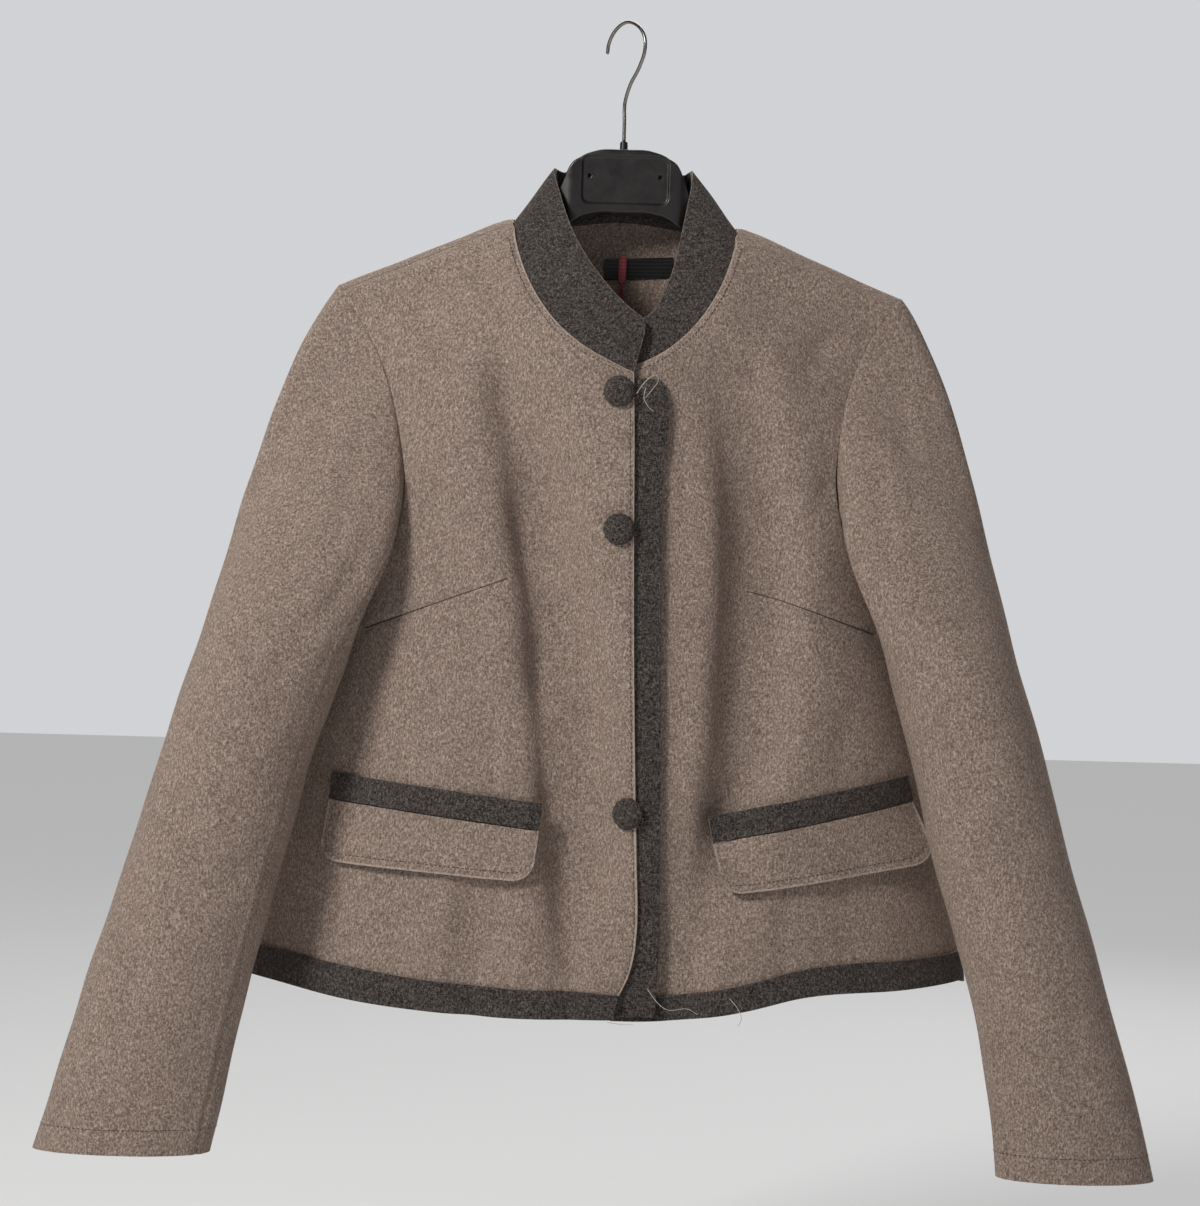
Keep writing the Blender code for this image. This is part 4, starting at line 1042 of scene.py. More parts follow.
# Creases of a sleeve as seen from the front and from behind: x outwards, down, x outwards, down, depth, half width.
SLEEVE_CREASES = {
    "front": (
        (176, 300, 196, 380, 2.2, 9), (166, 350, 190, 430, 1.8, 7), (196, 250, 214, 330, 1.6, 10),
        (178, 410, 232, 452, 2.6, 8), (196, 440, 250, 486, 2.0, 8), (214, 488, 262, 520, 1.4, 9),
        (300, 560, 262, 600, 1.5, 12), (226, 590, 268, 620, 1.4, 9), (244, 650, 300, 700, 1.3, 12),
        (262, 700, 330, 730, 1.2, 10), (316, 650, 330, 740, 1.5, 9), (268, 760, 300, 800, 1.3, 9),
        (240, 330, 262, 430, -1.4, 14), (262, 450, 284, 560, -1.3, 15), (206, 330, 226, 420, 1.4, 12),
    ),
    "back": (
        (180, 290, 206, 380, 2.0, 10), (176, 340, 212, 430, 2.0, 9), (196, 400, 250, 470, 2.6, 10),
        (214, 470, 280, 520, 2.0, 10), (226, 540, 296, 600, 1.6, 12), (300, 600, 262, 660, 1.6, 12),
        (266, 690, 330, 740, 1.4, 11), (230, 260, 250, 350, 1.4, 12),
    ),
}


def sleeve_relief(points, normal, side, turns):
    """Creases, unevenness and the two sewn seams of a sleeve, each seam a groove with pressed strips beside it."""
    outwards, down = side * points[..., 0], -points[..., 2]
    front = ease(-normal[..., 1], 0.0, 0.5) * along_lines(outwards, down, SLEEVE_CREASES["front"])
    behind = ease(normal[..., 1], 0.0, 0.5) * along_lines(outwards, down, SLEEVE_CREASES["back"])
    total = cloth_sizes().crease_strength * (uneven(points) - front - behind)
    for seam in (SEAM_FRONT_TURN, SEAM_BACK_TURN):
        away = np.radians(np.abs((turns - seam + 180) % 360 - 180)) * 50
        total = total - 1.1 * np.exp(-((away / 1.6) ** 2)) + 0.5 * (1 - ease(away, 5.0, 7.5))
    return total


def sleeve_grid(side):
    """Outer points, normals and turns of a sleeve, with its seams and creases."""
    steps = (-8, -6.6, -3, -1.8, -0.9, 0, 0.9, 1.8, 3, 6.6, 8)
    near = [seam + step for seam in (SEAM_FRONT_TURN, SEAM_BACK_TURN) for step in steps]
    turns = np.unique(np.concatenate([np.arange(0, 360, 2.5), near]))
    points, edge_normal = sleeve_points(side, turns, np.linspace(0, 1, 60), np.linspace(0, 1, 96)[1:])
    normal = ring_normals(points)
    points = points + sleeve_relief(points, normal, side, turns)[..., None] * normal
    return points, ring_normals(points), turns, edge_normal


# Two rows tucked under the armhole's edge: how far up from the first row, how deep, and share of its proud height.
SLEEVE_TUCKS = ((2.6, 1.3, 1.0), (1.2, 0.3, 0.55))


def make_sleeve(side, word):
    """A sleeve tube from inside the armhole to the cuff: two tucked rows, a curved cap and oval sections."""
    wall = walls()[0]
    points, normal, turns, edge_normal = sleeve_grid(side)
    away = unit(points[2] - points[0])
    proud = SLEEVE_PROUD * np.sin(np.radians(turns) / 2)[:, None]
    tucks = [points[0] - up * away - (kept * proud + deep) * edge_normal for up, deep, kept in SLEEVE_TUCKS]
    outer = np.concatenate([tucks, points])
    inner = outer - wall * np.concatenate([normal[:1], normal[:1], normal])
    made = shell(f"sleeve_{word}_cloth", outer, inner, FELT, ring=True)
    hang_cloth(closed_round(outer), (f"sleeve_upper_{word}", f"sleeve_under_{word}"))


def make_collar():
    """The stand collar: from a row lapped inside the neck edge to its raw top edge, both halves in one."""
    rows = tuple(shares(30, 0.0, 0.012))
    left = collar_points(1, np.concatenate([np.linspace(0, 170, 120), np.linspace(170.5, 176, 16)]), rows)
    right = collar_points(-1, np.concatenate([np.linspace(0, 171, 120), np.linspace(171.5, 177.2, 24)]), rows)
    outer = np.concatenate([left[:, :0:-1], right], axis=1)
    hint = outer - np.array([0, -10.0, -150.0])
    normal = cross_of(outer, hint)
    outer = outer + (0.6 * uneven(outer * 1.4))[..., None] * normal
    outer, inner = walled(outer, hint, COLLAR_WALL)
    cut = cut_cells(*outer.shape[:2], bottom=True, left=True, right=True)
    made = shell("collar_cloth", outer, inner, TRIM, cut=cut)
    hang_cloth(outer, ("collar",))


def make_band(name, side, node):
    """A hem band: the lowest rows of a panel, moved out, with 1.5 mm below its edge."""
    columns = 420 if side == 0 else 220
    rows = np.linspace(1 - BAND_SHARE, 1, 12)
    turn, reach = patch_at(side, np.linspace(0, 1, columns), rows)
    reach[-1] = reach[-1] + (1.5 if side == 0 else -1.5)
    low = on_cloth(turn, reach, GAP, side > 0)
    high = on_cloth(turn, reach, GAP + walls()[1], side > 0)
    made = shell(name, high, low, TRIM)
    hang_cloth(high, (node,))


def make_placket():
    """The band behind the lapping front's edge: columns from inside that edge to its own free edge."""
    down = np.concatenate([np.linspace(260.6, 270, 12), np.linspace(272, 704.5, 210)])
    free = table(down, PLACKET, 0)
    inner = table(down, FRONT_EDGE[-1], 0) - PLACKET_LAP
    x = inner[:, None] + (free - inner)[:, None] * np.linspace(0, 1, 16)
    turn, reach = place(x, np.broadcast_to(down[:, None], x.shape))
    top = -(WALL + BAND_GAP)
    high, low = on_cloth(turn, reach, top), on_cloth(turn, reach, top - walls()[1])
    made = shell("placket_cloth", high, low, TRIM)
    hang_cloth(high, ("placket_band",))


# How far stitches run from an edge: on the neck, a flap, the lapping front and a cuff.
NECK_INSET, FLAP_INSET, FRONT_INSET, CUFF_INSET = 4.2, 5.6, 3.2, 19.0
# Depth of the valley pressed by the flap's stitches, height of a pocket piece over the front, top of a flap.
FLAP_VALLEY, POCKET_LIFT, FLAP_TOP = 0.7, 1.0, 0.4


def flap_heights(side, u):
    """Height of a flap at these shares along it, its lower corners rounded by a circle."""
    row = POCKETS[side]
    length = np.hypot(*(np.array(row["outer"]) - np.array(row["inner"])))
    from_end = np.minimum(u, 1 - u) * length
    into = np.maximum(FLAP_CORNER - from_end, 0)
    cut = FLAP_CORNER - np.sqrt(np.maximum(FLAP_CORNER**2 - into**2, 0))
    return row["outer_height"] + (row["inner_height"] - row["outer_height"]) * u - cut, length


def flap_hang(side, u, v):
    """How far a flap stands off below its stitched top: more at an end that has come loose."""
    loose = POCKETS[side]["lift"] * (1 - ease(u, 0.0, 0.35))
    return loose * v + 2.6 * v**1.5 + 0.8 * np.sin(u * 11 + 2.0 * side) * v


def make_pocket(side, word):
    """A welt and the flap below it, each a grid along the pocket's line and down from it, laid on the front."""
    wall, trim = walls()
    along, height = np.meshgrid(np.linspace(0, 1, 120), np.linspace(-WELT_HEIGHT, -FLAP_TOP, 16))
    swell = 0.5 * np.sin(np.pi * np.linspace(0, 1, 16))[:, None]
    high = pocket_points(side, along, height, POCKET_LIFT + trim, swell)
    low = pocket_points(side, along, height, POCKET_LIFT)
    welt = shell(f"welt_{word}_cloth", high, low, TRIM)
    hang_cloth(high, (f"welt_{word}",))

    ends = 0.065 * (1 - np.cos(np.linspace(0, np.pi / 2, 14)))
    u = np.concatenate([ends, np.linspace(ends[-1], 1 - ends[-1], 90)[1:-1], (1 - ends)[::-1]])
    u = np.unique(np.concatenate([u, [0.008, 0.992]]))
    full, _ = flap_heights(side, u)
    v = shares(26, 0.0, 0.032)[:, None]
    height = FLAP_TOP + v * (full - FLAP_TOP)
    along = np.broadcast_to(u, height.shape)
    hang = flap_hang(side, u, v) - FLAP_VALLEY * bell(full - height - FLAP_INSET, 1.2)
    high = pocket_points(side, along, height, POCKET_LIFT + wall, hang)
    low = pocket_points(side, along, height, POCKET_LIFT, hang)
    cut = cut_cells(len(v), len(u), bottom=True, left=True, right=True)
    cut[:, (u[1:] < 0.0085) | (u[:-1] > 0.9915)] = True
    flap = shell(f"flap_{word}_cloth", high, low, FELT, cut=cut)
    hang_cloth(high, (f"flap_{word}",))


def resampled(line, pitch):
    """Length along a line at each of its points, and at the start of each stitch."""
    length = lengths(line)
    return length, np.arange(0.4 * pitch, length[-1] - 0.8 * pitch, pitch)


def make_stitches(name, runs, kind):
    """Rows of stitches: on each line, dashes that rise out of the cloth and dive back in.

    A dash is a tube of five rings of six points. Its radius and its height follow a short arch along it.
    """
    sizes = cloth_sizes()
    pitch, radius = sizes.stitch_pitch / MM, sizes.thread_width / MM / 2
    share = np.array([0.0, 0.2, 0.5, 0.8, 1.0])
    thick = np.array([0.35, 0.85, 1.0, 0.85, 0.35]) * radius
    rise = np.array([-0.6, 0.25, 0.55, 0.25, -0.6]) * radius
    around = np.arange(6) * np.pi / 3
    found = []
    for line, above in runs:
        length, starts = resampled(line, pitch)
        at = starts[:, None] + share * pitch * 0.74
        centre = np.stack([np.interp(at, length, line[:, i]) for i in range(3)], -1)
        up = unit(np.stack([np.interp(at, length, (above - line)[:, i]) for i in range(3)], -1))
        ahead = unit(centre[:, -1:] - centre[:, :1])
        aside = np.cross(up, np.broadcast_to(ahead, up.shape))
        ring = np.cos(around)[:, None] * up[:, :, None] + np.sin(around)[:, None] * aside[:, :, None]
        found.append((centre + rise[:, None] * up)[:, :, None] + thick[:, None, None] * ring)
    rings = np.concatenate(found)
    points = rings.reshape(-1, 3)
    index = np.arange(30).reshape(5, 6)
    caps = np.array([[0, 1, 2, 3], [0, 3, 4, 5], [27, 26, 25, 24], [29, 28, 27, 24]])
    one = outward(points[:30], np.concatenate([quads_of(closed_round(index)), caps]))
    faces = (one[None] + 30 * np.arange(len(rings))[:, None, None]).reshape(-1, 4)
    put_mesh(name, points, faces, (kind,), crease=80)


def run_on_cloth(turn, reach, lift, under=False):
    """A line on the cloth and the same line one millimetre above it."""
    return on_cloth(turn, reach, lift, under), on_cloth(turn, reach, lift + 1.0, under)


def neck_runs():
    """Lines sewn round the neck edge, 4.2 mm outside it, on the fronts and the back."""
    runs = []
    for side in (-1, 1):
        turn, reach = neck(np.linspace(100, NECK_END[side] - 4, 160), side, NECK_INSET)
        runs.append(run_on_cloth(turn, reach, 0.0, side > 0))
    left, right = (neck(np.linspace(0, 94, 90), side, NECK_INSET) for side in (-1, 1))
    turn = np.concatenate([left[0][:0:-1], right[0]])
    reach = np.concatenate([left[1][:0:-1], right[1]])
    runs.append(run_on_cloth(turn, np.maximum(reach, 0.5), 0.0))
    return runs


def band_runs():
    """Lines sewn 1.8 mm below the top edge of each hem band."""
    runs = []
    for side in (-1, 0, 1):
        low = 1 - BAND_SHARE + 0.0045
        turn, reach = patch_at(side, np.linspace(0.006, 0.994, 400), np.array([low - 0.001, low]))
        runs.append(run_on_cloth(turn[1], reach[1], GAP + walls()[1], side > 0))
    return runs


def flap_runs(side):
    """The line sewn 5.6 mm inside the sides and the lower edge of a flap."""
    _, length = flap_heights(side, np.array([0.5]))
    inset, corner = FLAP_INSET, FLAP_CORNER - FLAP_INSET
    bend = np.linspace(0, np.pi / 2, 12)
    ends = flap_heights(side, np.array([0.12, 0.88]))[0]
    first = [(inset, 0.8), (inset, ends[0] - inset - corner)]
    turn_in = [(inset + corner * (1 - np.cos(b)), ends[0] - inset - corner * (1 - np.sin(b))) for b in bend]
    turn_out = [(length - a, h + ends[1] - ends[0]) for a, h in turn_in[::-1]]
    last = [(length - inset, ends[1] - inset - corner), (length - inset, 0.8)]
    path = np.array(first + turn_in + turn_out + last)
    span = lengths(path)
    at = np.linspace(0, span[-1], 300)
    a, h = np.interp(at, span, path[:, 0]), np.interp(at, span, path[:, 1])
    u = a / length
    v = h / flap_heights(side, u)[0]
    hang = flap_hang(side, u, v) - 0.5
    lift = POCKET_LIFT + walls()[0]
    return [(pocket_points(side, u, h, lift, hang), pocket_points(side, u, h, lift + 1.0, hang))]


def edge_runs():
    """The line sewn down the lapping front, 3.2 mm inside its raw edge."""
    down = np.linspace(266, 690, 420)
    turn, reach = place(table(down, FRONT_EDGE[-1], 0) - FRONT_INSET, down)
    return [run_on_cloth(turn, reach, 0.0)]


def cuff_runs(side):
    """The line sewn round a cuff, 19 mm above its edge."""
    points, normal, _, _ = sleeve_grid(side)
    last = points[-1, :, 2].mean()
    row = int(np.argmin(np.abs(points[:, :, 2].mean(axis=1) - last - CUFF_INSET)))
    ring = np.concatenate([points[row], points[row, :1]])
    return [(ring, ring + np.concatenate([normal[row], normal[row, :1]]))]


# Covered button: radius share and height share of its profile, from the middle out and round to the back.
BUTTON_PROFILE = (
    (0.0, 1.0), (0.18, 0.99), (0.36, 0.96), (0.54, 0.90), (0.70, 0.81), (0.82, 0.69), (0.91, 0.54), (0.97, 0.38),
    (1.0, 0.22), (0.985, 0.09), (0.93, 0.01), (0.84, -0.02), (0.6, -0.02), (0.0, -0.02),
)


def make_button(name):
    """A covered button: a dome of cloth over a shell, gathered in small folds where it goes round the edge."""
    x, down = BUTTONS[name]
    turn, reach = place(x, down)
    centre = lifted(turn, reach, BUTTON_GAP[name])
    normal = body_normal(turn, reach)
    side = unit(np.cross(normal, [0.0, 0.0, 1.0]))
    up = np.cross(side, normal)
    profile = np.array(BUTTON_PROFILE)
    share = np.linspace(0, len(profile) - 1, 44)
    r, h = table(share, np.column_stack([np.arange(len(profile)), profile])).T
    angle = np.linspace(0, 2 * np.pi, 73)
    folds = 0.022 * np.sin(angle * 17 + 1.4 * np.sin(angle * 3))[None] * ease(r, 0.72, 1.0)[:, None]
    r = BUTTON_RADIUS * (np.maximum(r, 0)[:, None] * (1 + folds))
    tall = BUTTON_HEIGHT * (h[:, None] + 0.012 * np.sin(angle * 2 + down) * ease(1 - h, 0.0, 0.4)[:, None])
    ring = np.cos(angle)[:, None] * side + np.sin(angle)[:, None] * up
    grid = centre + r[..., None] * ring[None] + tall[..., None] * normal
    rows, columns = grid.shape[:2]
    index = np.arange(rows * columns).reshape(rows, columns)
    index[:, -1] = index[:, 0]
    index[0], index[-1] = 0, index[-1, 0]
    made = put_mesh(f"{name}_covered", *compact(grid.reshape(-1, 3), quads_of(index)), ("charcoal",), crease=70)
    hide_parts(name)


# Label: x of both ends, top, height, and the slope by which it rises and narrows.
LABEL_LEFT, LABEL_RIGHT, LABEL_TOP, LABEL_HEIGHT, LABEL_SLOPE = -12.3, 38.5, 165.0, 15.5, 0.03
# Ribbon: top, length and half width.
RIBBON_TOP, RIBBON_LENGTH, RIBBON_HALF = 162.5, 35.0, 3.0


def make_label():
    """The woven label inside the back, its two ends folded under."""
    x = np.linspace(LABEL_LEFT, LABEL_RIGHT, 120)
    v = np.linspace(0, 1, 26)[:, None]
    rise = (x + 12) * LABEL_SLOPE
    down = LABEL_TOP - rise + v * (LABEL_HEIGHT - rise)
    turn, reach = place(np.broadcast_to(x, down.shape), down, True)
    wave = 0.35 * np.sin(x / 6.0 + 3 * v) + 0.25 * np.sin(np.pi * v)
    folded = 0.35 * (1 - ease(np.minimum(x - LABEL_LEFT, LABEL_RIGHT - x), 0.5, 5.0))
    high = on_cloth(turn, reach, -(WALL + 0.5) - 0.6 - folded - 0.3 * wave)
    low = on_cloth(turn, reach, -(WALL + 0.5))
    made = shell("neck_label_woven", high, low, ("label", "label"))
    hang_cloth(high, ("neck_label",))


def make_ribbon():
    """The ribbon sewn over the label: a tape whose lower half is drawn in to a strand, turned and swung aside."""
    v = np.linspace(0, 1, 90)
    down = RIBBON_TOP + RIBBON_LENGTH * v
    width = RIBBON_HALF * (1 - 0.70 * ease(v, 0.50, 0.60) + 0.25 * ease(v, 0.62, 0.75))
    twist = ease(v, 0.50, 1.0) * 0.9
    middle = 1.7 + 1.3 * np.sin(v * 3.4) * ease(v, 0.45, 1.0) - 0.8 * v
    across = np.linspace(-1, 1, 12)
    x = middle[:, None] + width[:, None] * across * np.cos(twist)[:, None]
    out = width[:, None] * across * np.sin(twist)[:, None] * 0.5
    turn, reach = place(x, np.broadcast_to(down[:, None], x.shape), True)
    depth = -(WALL + 0.8) - 1.7 + out - 0.5 * np.sin(across * 3)
    high, low = on_cloth(turn, reach, depth - 0.45), on_cloth(turn, reach, depth)
    made = shell("neck_ribbon_satin", high, low, ("ribbon", "ribbon"))
    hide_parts("neck_ribbon")


def boxed_section(half_y, top, bottom, corner, counts):
    """Points round a box section with round corners: down the front, back below, up the rear, forward on top."""
    faces, arc = counts
    z0, z1 = top - corner, bottom + corner
    y0, y1 = -(half_y - corner), half_y - corner
    bend = np.linspace(0, np.pi / 2, arc + 2)[1:-1]
    parts = []
    for (ya, za), (yb, zb), (yc, zc), first, number in (
        ((-half_y, z0), (-half_y, z1), (y0, z1), np.pi, faces[0]),
        ((y0, bottom), (y1, bottom), (y1, z1), 1.5 * np.pi, faces[1]),
        ((half_y, z1), (half_y, z0), (y1, z0), 0.0, faces[2]),
        ((y1, top), (y0, top), (y0, z0), 0.5 * np.pi, faces[3]),
    ):
        s = np.linspace(0, 1, number)
        parts.append(np.stack([ya + (yb - ya) * s, za + (zb - za) * s], -1))
        parts.append(np.stack([yc + corner * np.cos(first + bend), zc + corner * np.sin(first + bend)], -1))
    return np.concatenate(parts)


# The sunk panel of the hanger's block: x and z of its middle, half sizes, corner radius and depth.
SUNK_PANEL = (1.8, -113.8, 31.6, 17.6, 5.7, 1.5)
# Moulded dimples: x, z and radius.
DIMPLES = ((-24.0, -111.0, 1.4), (26.6, -111.2, 1.4))


def block_relief(x, z):
    """Depth of the block's moulded features: a rounded box distance for the sunk panel, and two round dimples."""
    cx, cz, half_x, half_z, corner, depth = SUNK_PANEL
    qx, qz = np.abs(x - cx) - half_x + corner, np.abs(z - cz) - half_z + corner
    away = np.hypot(np.maximum(qx, 0), np.maximum(qz, 0)) + np.minimum(np.maximum(qx, qz), 0) - corner
    total = depth * (1 - ease(away, -1.4, 0.2))
    for dx, dz, radius in DIMPLES:
        total = total + 2.6 * (1 - ease(np.hypot(x - dx, z - dz), radius * 0.5, radius * 1.1))
    return total


def make_hanger_body():
    """The hanger: box sections carried along its length, the block's front face sunk by its relief."""
    half = np.concatenate([np.arange(0, 46, 0.55), np.linspace(46, 186, 110)])
    away = np.concatenate([-half[:0:-1], half])
    top, bottom, depth, middle = table(np.abs(away), HANGER).T
    sections = []
    for x, t, b, d, m in zip(away, top, bottom, depth, middle):
        corner = min(2.2, 0.42 * (t - b) / 2, 0.42 * d)
        section = boxed_section(d, t, b, corner, ((52, 12, 24, 12), 5))
        sections.append(np.column_stack([np.full(len(section), HANGER_X + x), section[:, 0] + m, section[:, 1]]))
    grid = np.array(sections)
    front = ease(-(grid[..., 1] - middle[:, None]), depth[:, None] * 0.8, depth[:, None])
    grid[..., 1] += front * block_relief(grid[..., 0], grid[..., 2])
    tip = 0.5 * (1 - np.cos(np.linspace(0, np.pi / 2, 7)[1:]))
    ends = []
    for edge, way in ((grid[0], -1), (grid[-1], 1)):
        centre, small = edge.mean(axis=0), np.sqrt(np.maximum(1 - (2 * tip) ** 2, 0))
        out = np.array([way * 4.0, 0, 0]) * tip[:, None, None]
        ends.append(centre + (edge - centre) * small[:, None, None] + out)
    grid = np.concatenate([ends[0][::-1], grid, ends[1]])
    index = closed_round(np.arange(grid.shape[0] * grid.shape[1]).reshape(grid.shape[:2]))
    index[0], index[-1] = index[0, 0], index[-1, 0]
    made = put_mesh("hanger_moulded", *compact(grid.reshape(-1, 3), quads_of(index)), ("plastic",), crease=50)
    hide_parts("hanger_body")


def tube(name, line, radius, kind, sides=12):
    """A round tube along a line: rings square to it, each of its own radius, and a dome at each end.

    The rings start from the direction in which the line spreads least, so that they don't twist.
    """
    radius = np.broadcast_to(radius, len(line))
    ahead = unit(np.gradient(line, axis=0))
    least = np.linalg.svd(line - line.mean(0), full_matrices=False)[2][-1]
    aside = unit(np.cross(ahead, least))
    over = np.cross(aside, ahead)
    angle = np.linspace(0, 2 * np.pi, sides + 1)[:-1]
    ring = np.cos(angle)[:, None] * aside[:, None] + np.sin(angle)[:, None] * over[:, None]
    bend = np.linspace(0, np.pi / 2, 5)[1:, None, None]
    narrow = np.maximum(np.cos(bend), 1e-4)
    first = line[0] - ahead[0] * radius[0] * np.sin(bend) + ring[0] * radius[0] * narrow
    last = line[-1] + ahead[-1] * radius[-1] * np.sin(bend) + ring[-1] * radius[-1] * narrow
    grid = np.concatenate([first[::-1], line[:, None] + ring * radius[:, None, None], last])
    faces = quads_of(closed_round(np.arange(grid.shape[0] * sides).reshape(-1, sides)))
    cap = np.array([[0, i, i + 1, i + 2] for i in range(1, sides - 2, 2)])
    faces = np.concatenate([faces, cap, (cap + (grid.shape[0] - 1) * sides)[:, ::-1]])
    points = grid.reshape(-1, 3)
    return put_mesh(name, points, outward(points, faces), (kind,), crease=60)


def make_hook():
    """The wire hook in its turned plane, on the solid's own line, and its ferrule below it."""
    fine = walk(HOOK, np.linspace(0, 1, 220))
    line = np.stack([fine[:, 0] * np.cos(HOOK_TURN), -fine[:, 0] * np.sin(HOOK_TURN), fine[:, 1]], -1)
    made = tube("hanger_hook_wire", line, HOOK_WIRE, "steel", 20)
    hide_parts("hanger_hook")
    z = np.array([-91.2, -91.0, -86.2, -85.4, -84.9, -84.7])
    radius = np.array([2.9, 2.9, 2.75, 2.5, 2.0, 1.45])
    line = np.column_stack([np.zeros(60), np.zeros(60), np.linspace(z[0], z[-1], 60)])
    made = tube("hanger_ferrule_moulded", line, np.interp(line[:, 2], z, radius), "plastic", 36)
    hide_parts("hanger_ferrule")


# Loose ends of thread: x, down, height above the cloth, for each point along the thread.
LOOSE_THREADS = (
    ((13, 272, 2.0), (17, 266, 4.5), (22, 261, 5.5), (26, 260, 5.5), (27, 264, 5.0), (23, 270, 4.0), (19, 275, 2.5)),
    ((19, 268, 2.0), (18, 275, 3.0), (21, 281, 2.5), (25, 284, 1.5)),
    ((31, 684, 1.0), (38, 693, 5.5), (46, 698, 6.0), (58, 697, 6.0), (66, 701, 4.6)),
    ((88, 690, 3.6), (93, 696, 5.5), (96, 703, 5.5), (94, 709, 4.4)),
    ((4, 707.5, 3.2), (12, 708.5, 4.0), (22, 708.8, 3.6)),
)


def make_threads():
    """Thin ends of undyed thread that lie on the cloth: a smooth curve through points above the fronts."""
    for number, rows in enumerate(LOOSE_THREADS):
        rows = np.array(rows, float)
        share = np.linspace(0, len(rows) - 1, 60)
        x, down, height = table(share, np.column_stack([np.arange(len(rows)), rows])).T
        turn, reach = place(x, down)
        line = on_cloth(turn, reach, height)
        tube(f"loose_thread_{number + 1}", line, np.linspace(0.24, 0.18, 60), "pale_thread", 8)


def make_dart_seam_shade_cords():
    """A fine dark cord along the bottom of each dart's groove: partly the dart's stitching, partly painted shade in
    its fold.
    """
    for word, (x0, d0, x1, d1) in zip(("right", "left"), DARTS):
        share = np.linspace(0.0, 0.97, 160)
        turn, reach = place(x0 + (x1 - x0) * share, d0 + (d1 - d0) * share)
        line = on_cloth(turn, reach, 0.3, word == "left")
        # The cord's dark thread colour paints the shade of the dart's fold as well as showing its stitching.
        tube(f"dart_seam_{word}", line, 0.5 * (1 - 0.5 * share), "brown_thread", 8)


def length_property(name, description, value):
    """A length in metres, shown in the panel."""
    return FloatProperty(name=name, description=description, default=value * MM, unit="LENGTH")


def colour_property(name, description, code):
    """A colour shown in the panel, given as an sRGB hex value."""
    settings = {"subtype": "COLOR", "size": 3, "min": 0, "max": 1}
    return FloatVectorProperty(name=name, description=description, default=linear(code), **settings)


class JacketCloth(bpy.types.PropertyGroup):
    """Measures of the cloth and its sewing."""

    felt_wall: length_property("Felt", "Thickness of the brown felt", WALL)
    trim_wall: length_property("Trim", "Thickness of the charcoal trims", TRIM_WALL)
    crease_strength: FloatProperty(
        name="Creases", description="Depth of the creases and unevenness", default=1.0, min=0, max=1.5
    )
    stitch_pitch: length_property("Stitch", "Length from stitch to stitch", 3.2)
    thread_width: length_property("Thread", "Width of the drawn thread", 0.6)


class JacketColours(bpy.types.PropertyGroup):
    """Colours of the cloth, the threads and the ribbon."""

    felt: colour_property("Felt", "Middle colour of the brown felt", "#8a776b")
    felt_light: colour_property("Felt fibres", "Palest fibres of the brown felt", "#c6b4a8")
    felt_dark: colour_property("Felt depths", "Darkest fibres of the brown felt", "#5e4e44")
    raw_edge: colour_property("Raw edge", "Cut edge of the brown felt", "#b8a79b")
    charcoal: colour_property("Charcoal", "Middle colour of the trims", "#332e2b")
    charcoal_light: colour_property("Charcoal fibres", "Palest fibres of the trims", "#79716d")
    charcoal_dark: colour_property("Charcoal depths", "Darkest fibres of the trims", "#141110")
    brown_thread: colour_property("Brown thread", "Stitches on the brown felt", "#33281f")
    black_thread: colour_property("Black thread", "Stitches on the trims", "#1e1b1b")
    pale_thread: colour_property("Loose thread", "Undyed thread ends", "#c9bfb2")
    ribbon: colour_property("Ribbon", "Ribbon at the neck", "#93424a")


class JACKET_OT_fronts(bpy.types.Operator):
    """Make both fronts with their darts and creases"""

    bl_idname = "jacket.fronts"
    bl_label = "Fronts"

    def execute(self, context):
        make_panel("front_right_cloth", -1, 150, 190, "front_right")
        make_panel("front_left_cloth", 1, 150, 190, "front_left")
        return {"FINISHED"}


class JACKET_OT_back(bpy.types.Operator):
    """Make the back with its hanging folds"""

    bl_idname = "jacket.back"
    bl_label = "Back"

    def execute(self, context):
        make_panel("back_cloth", 0, 240, 170, "back")
        return {"FINISHED"}


class JACKET_OT_sleeves(bpy.types.Operator):
    """Make both sleeves with their seams"""

    bl_idname = "jacket.sleeves"
    bl_label = "Sleeves"

    def execute(self, context):
        make_sleeve(-1, "right")
        make_sleeve(1, "left")
        return {"FINISHED"}


class JACKET_OT_collar(bpy.types.Operator):
    """Make the stand collar"""

    bl_idname = "jacket.collar"
    bl_label = "Collar"

    def execute(self, context):
        make_collar()
        return {"FINISHED"}


class JACKET_OT_bands(bpy.types.Operator):
    """Make the hem bands and the band down the front"""

    bl_idname = "jacket.bands"
    bl_label = "Bands"

    def execute(self, context):
        make_band("hem_band_front_right_cloth", -1, "hem_band_front_right")
        make_band("hem_band_front_left_cloth", 1, "hem_band_front_left")
        make_band("hem_band_back_cloth", 0, "hem_band_back")
        make_placket()
        return {"FINISHED"}


class JACKET_OT_pockets(bpy.types.Operator):
    """Make the pocket welts and flaps"""

    bl_idname = "jacket.pockets"
    bl_label = "Pockets"

    def execute(self, context):
        make_pocket(-1, "right")
        make_pocket(1, "left")
        return {"FINISHED"}


class JACKET_OT_stitches(bpy.types.Operator):
    """Make every visible row of stitches"""

    bl_idname = "jacket.stitches"
    bl_label = "Stitches"

    def execute(self, context):
        make_stitches("stitches_neck", neck_runs(), "brown_thread")
        make_stitches("stitches_hem", band_runs(), "black_thread")
        make_stitches("stitches_flaps", flap_runs(-1) + flap_runs(1), "brown_thread")
        make_stitches("stitches_front", edge_runs(), "brown_thread")
        make_stitches("stitches_cuffs", cuff_runs(-1) + cuff_runs(1), "brown_thread")
        return {"FINISHED"}


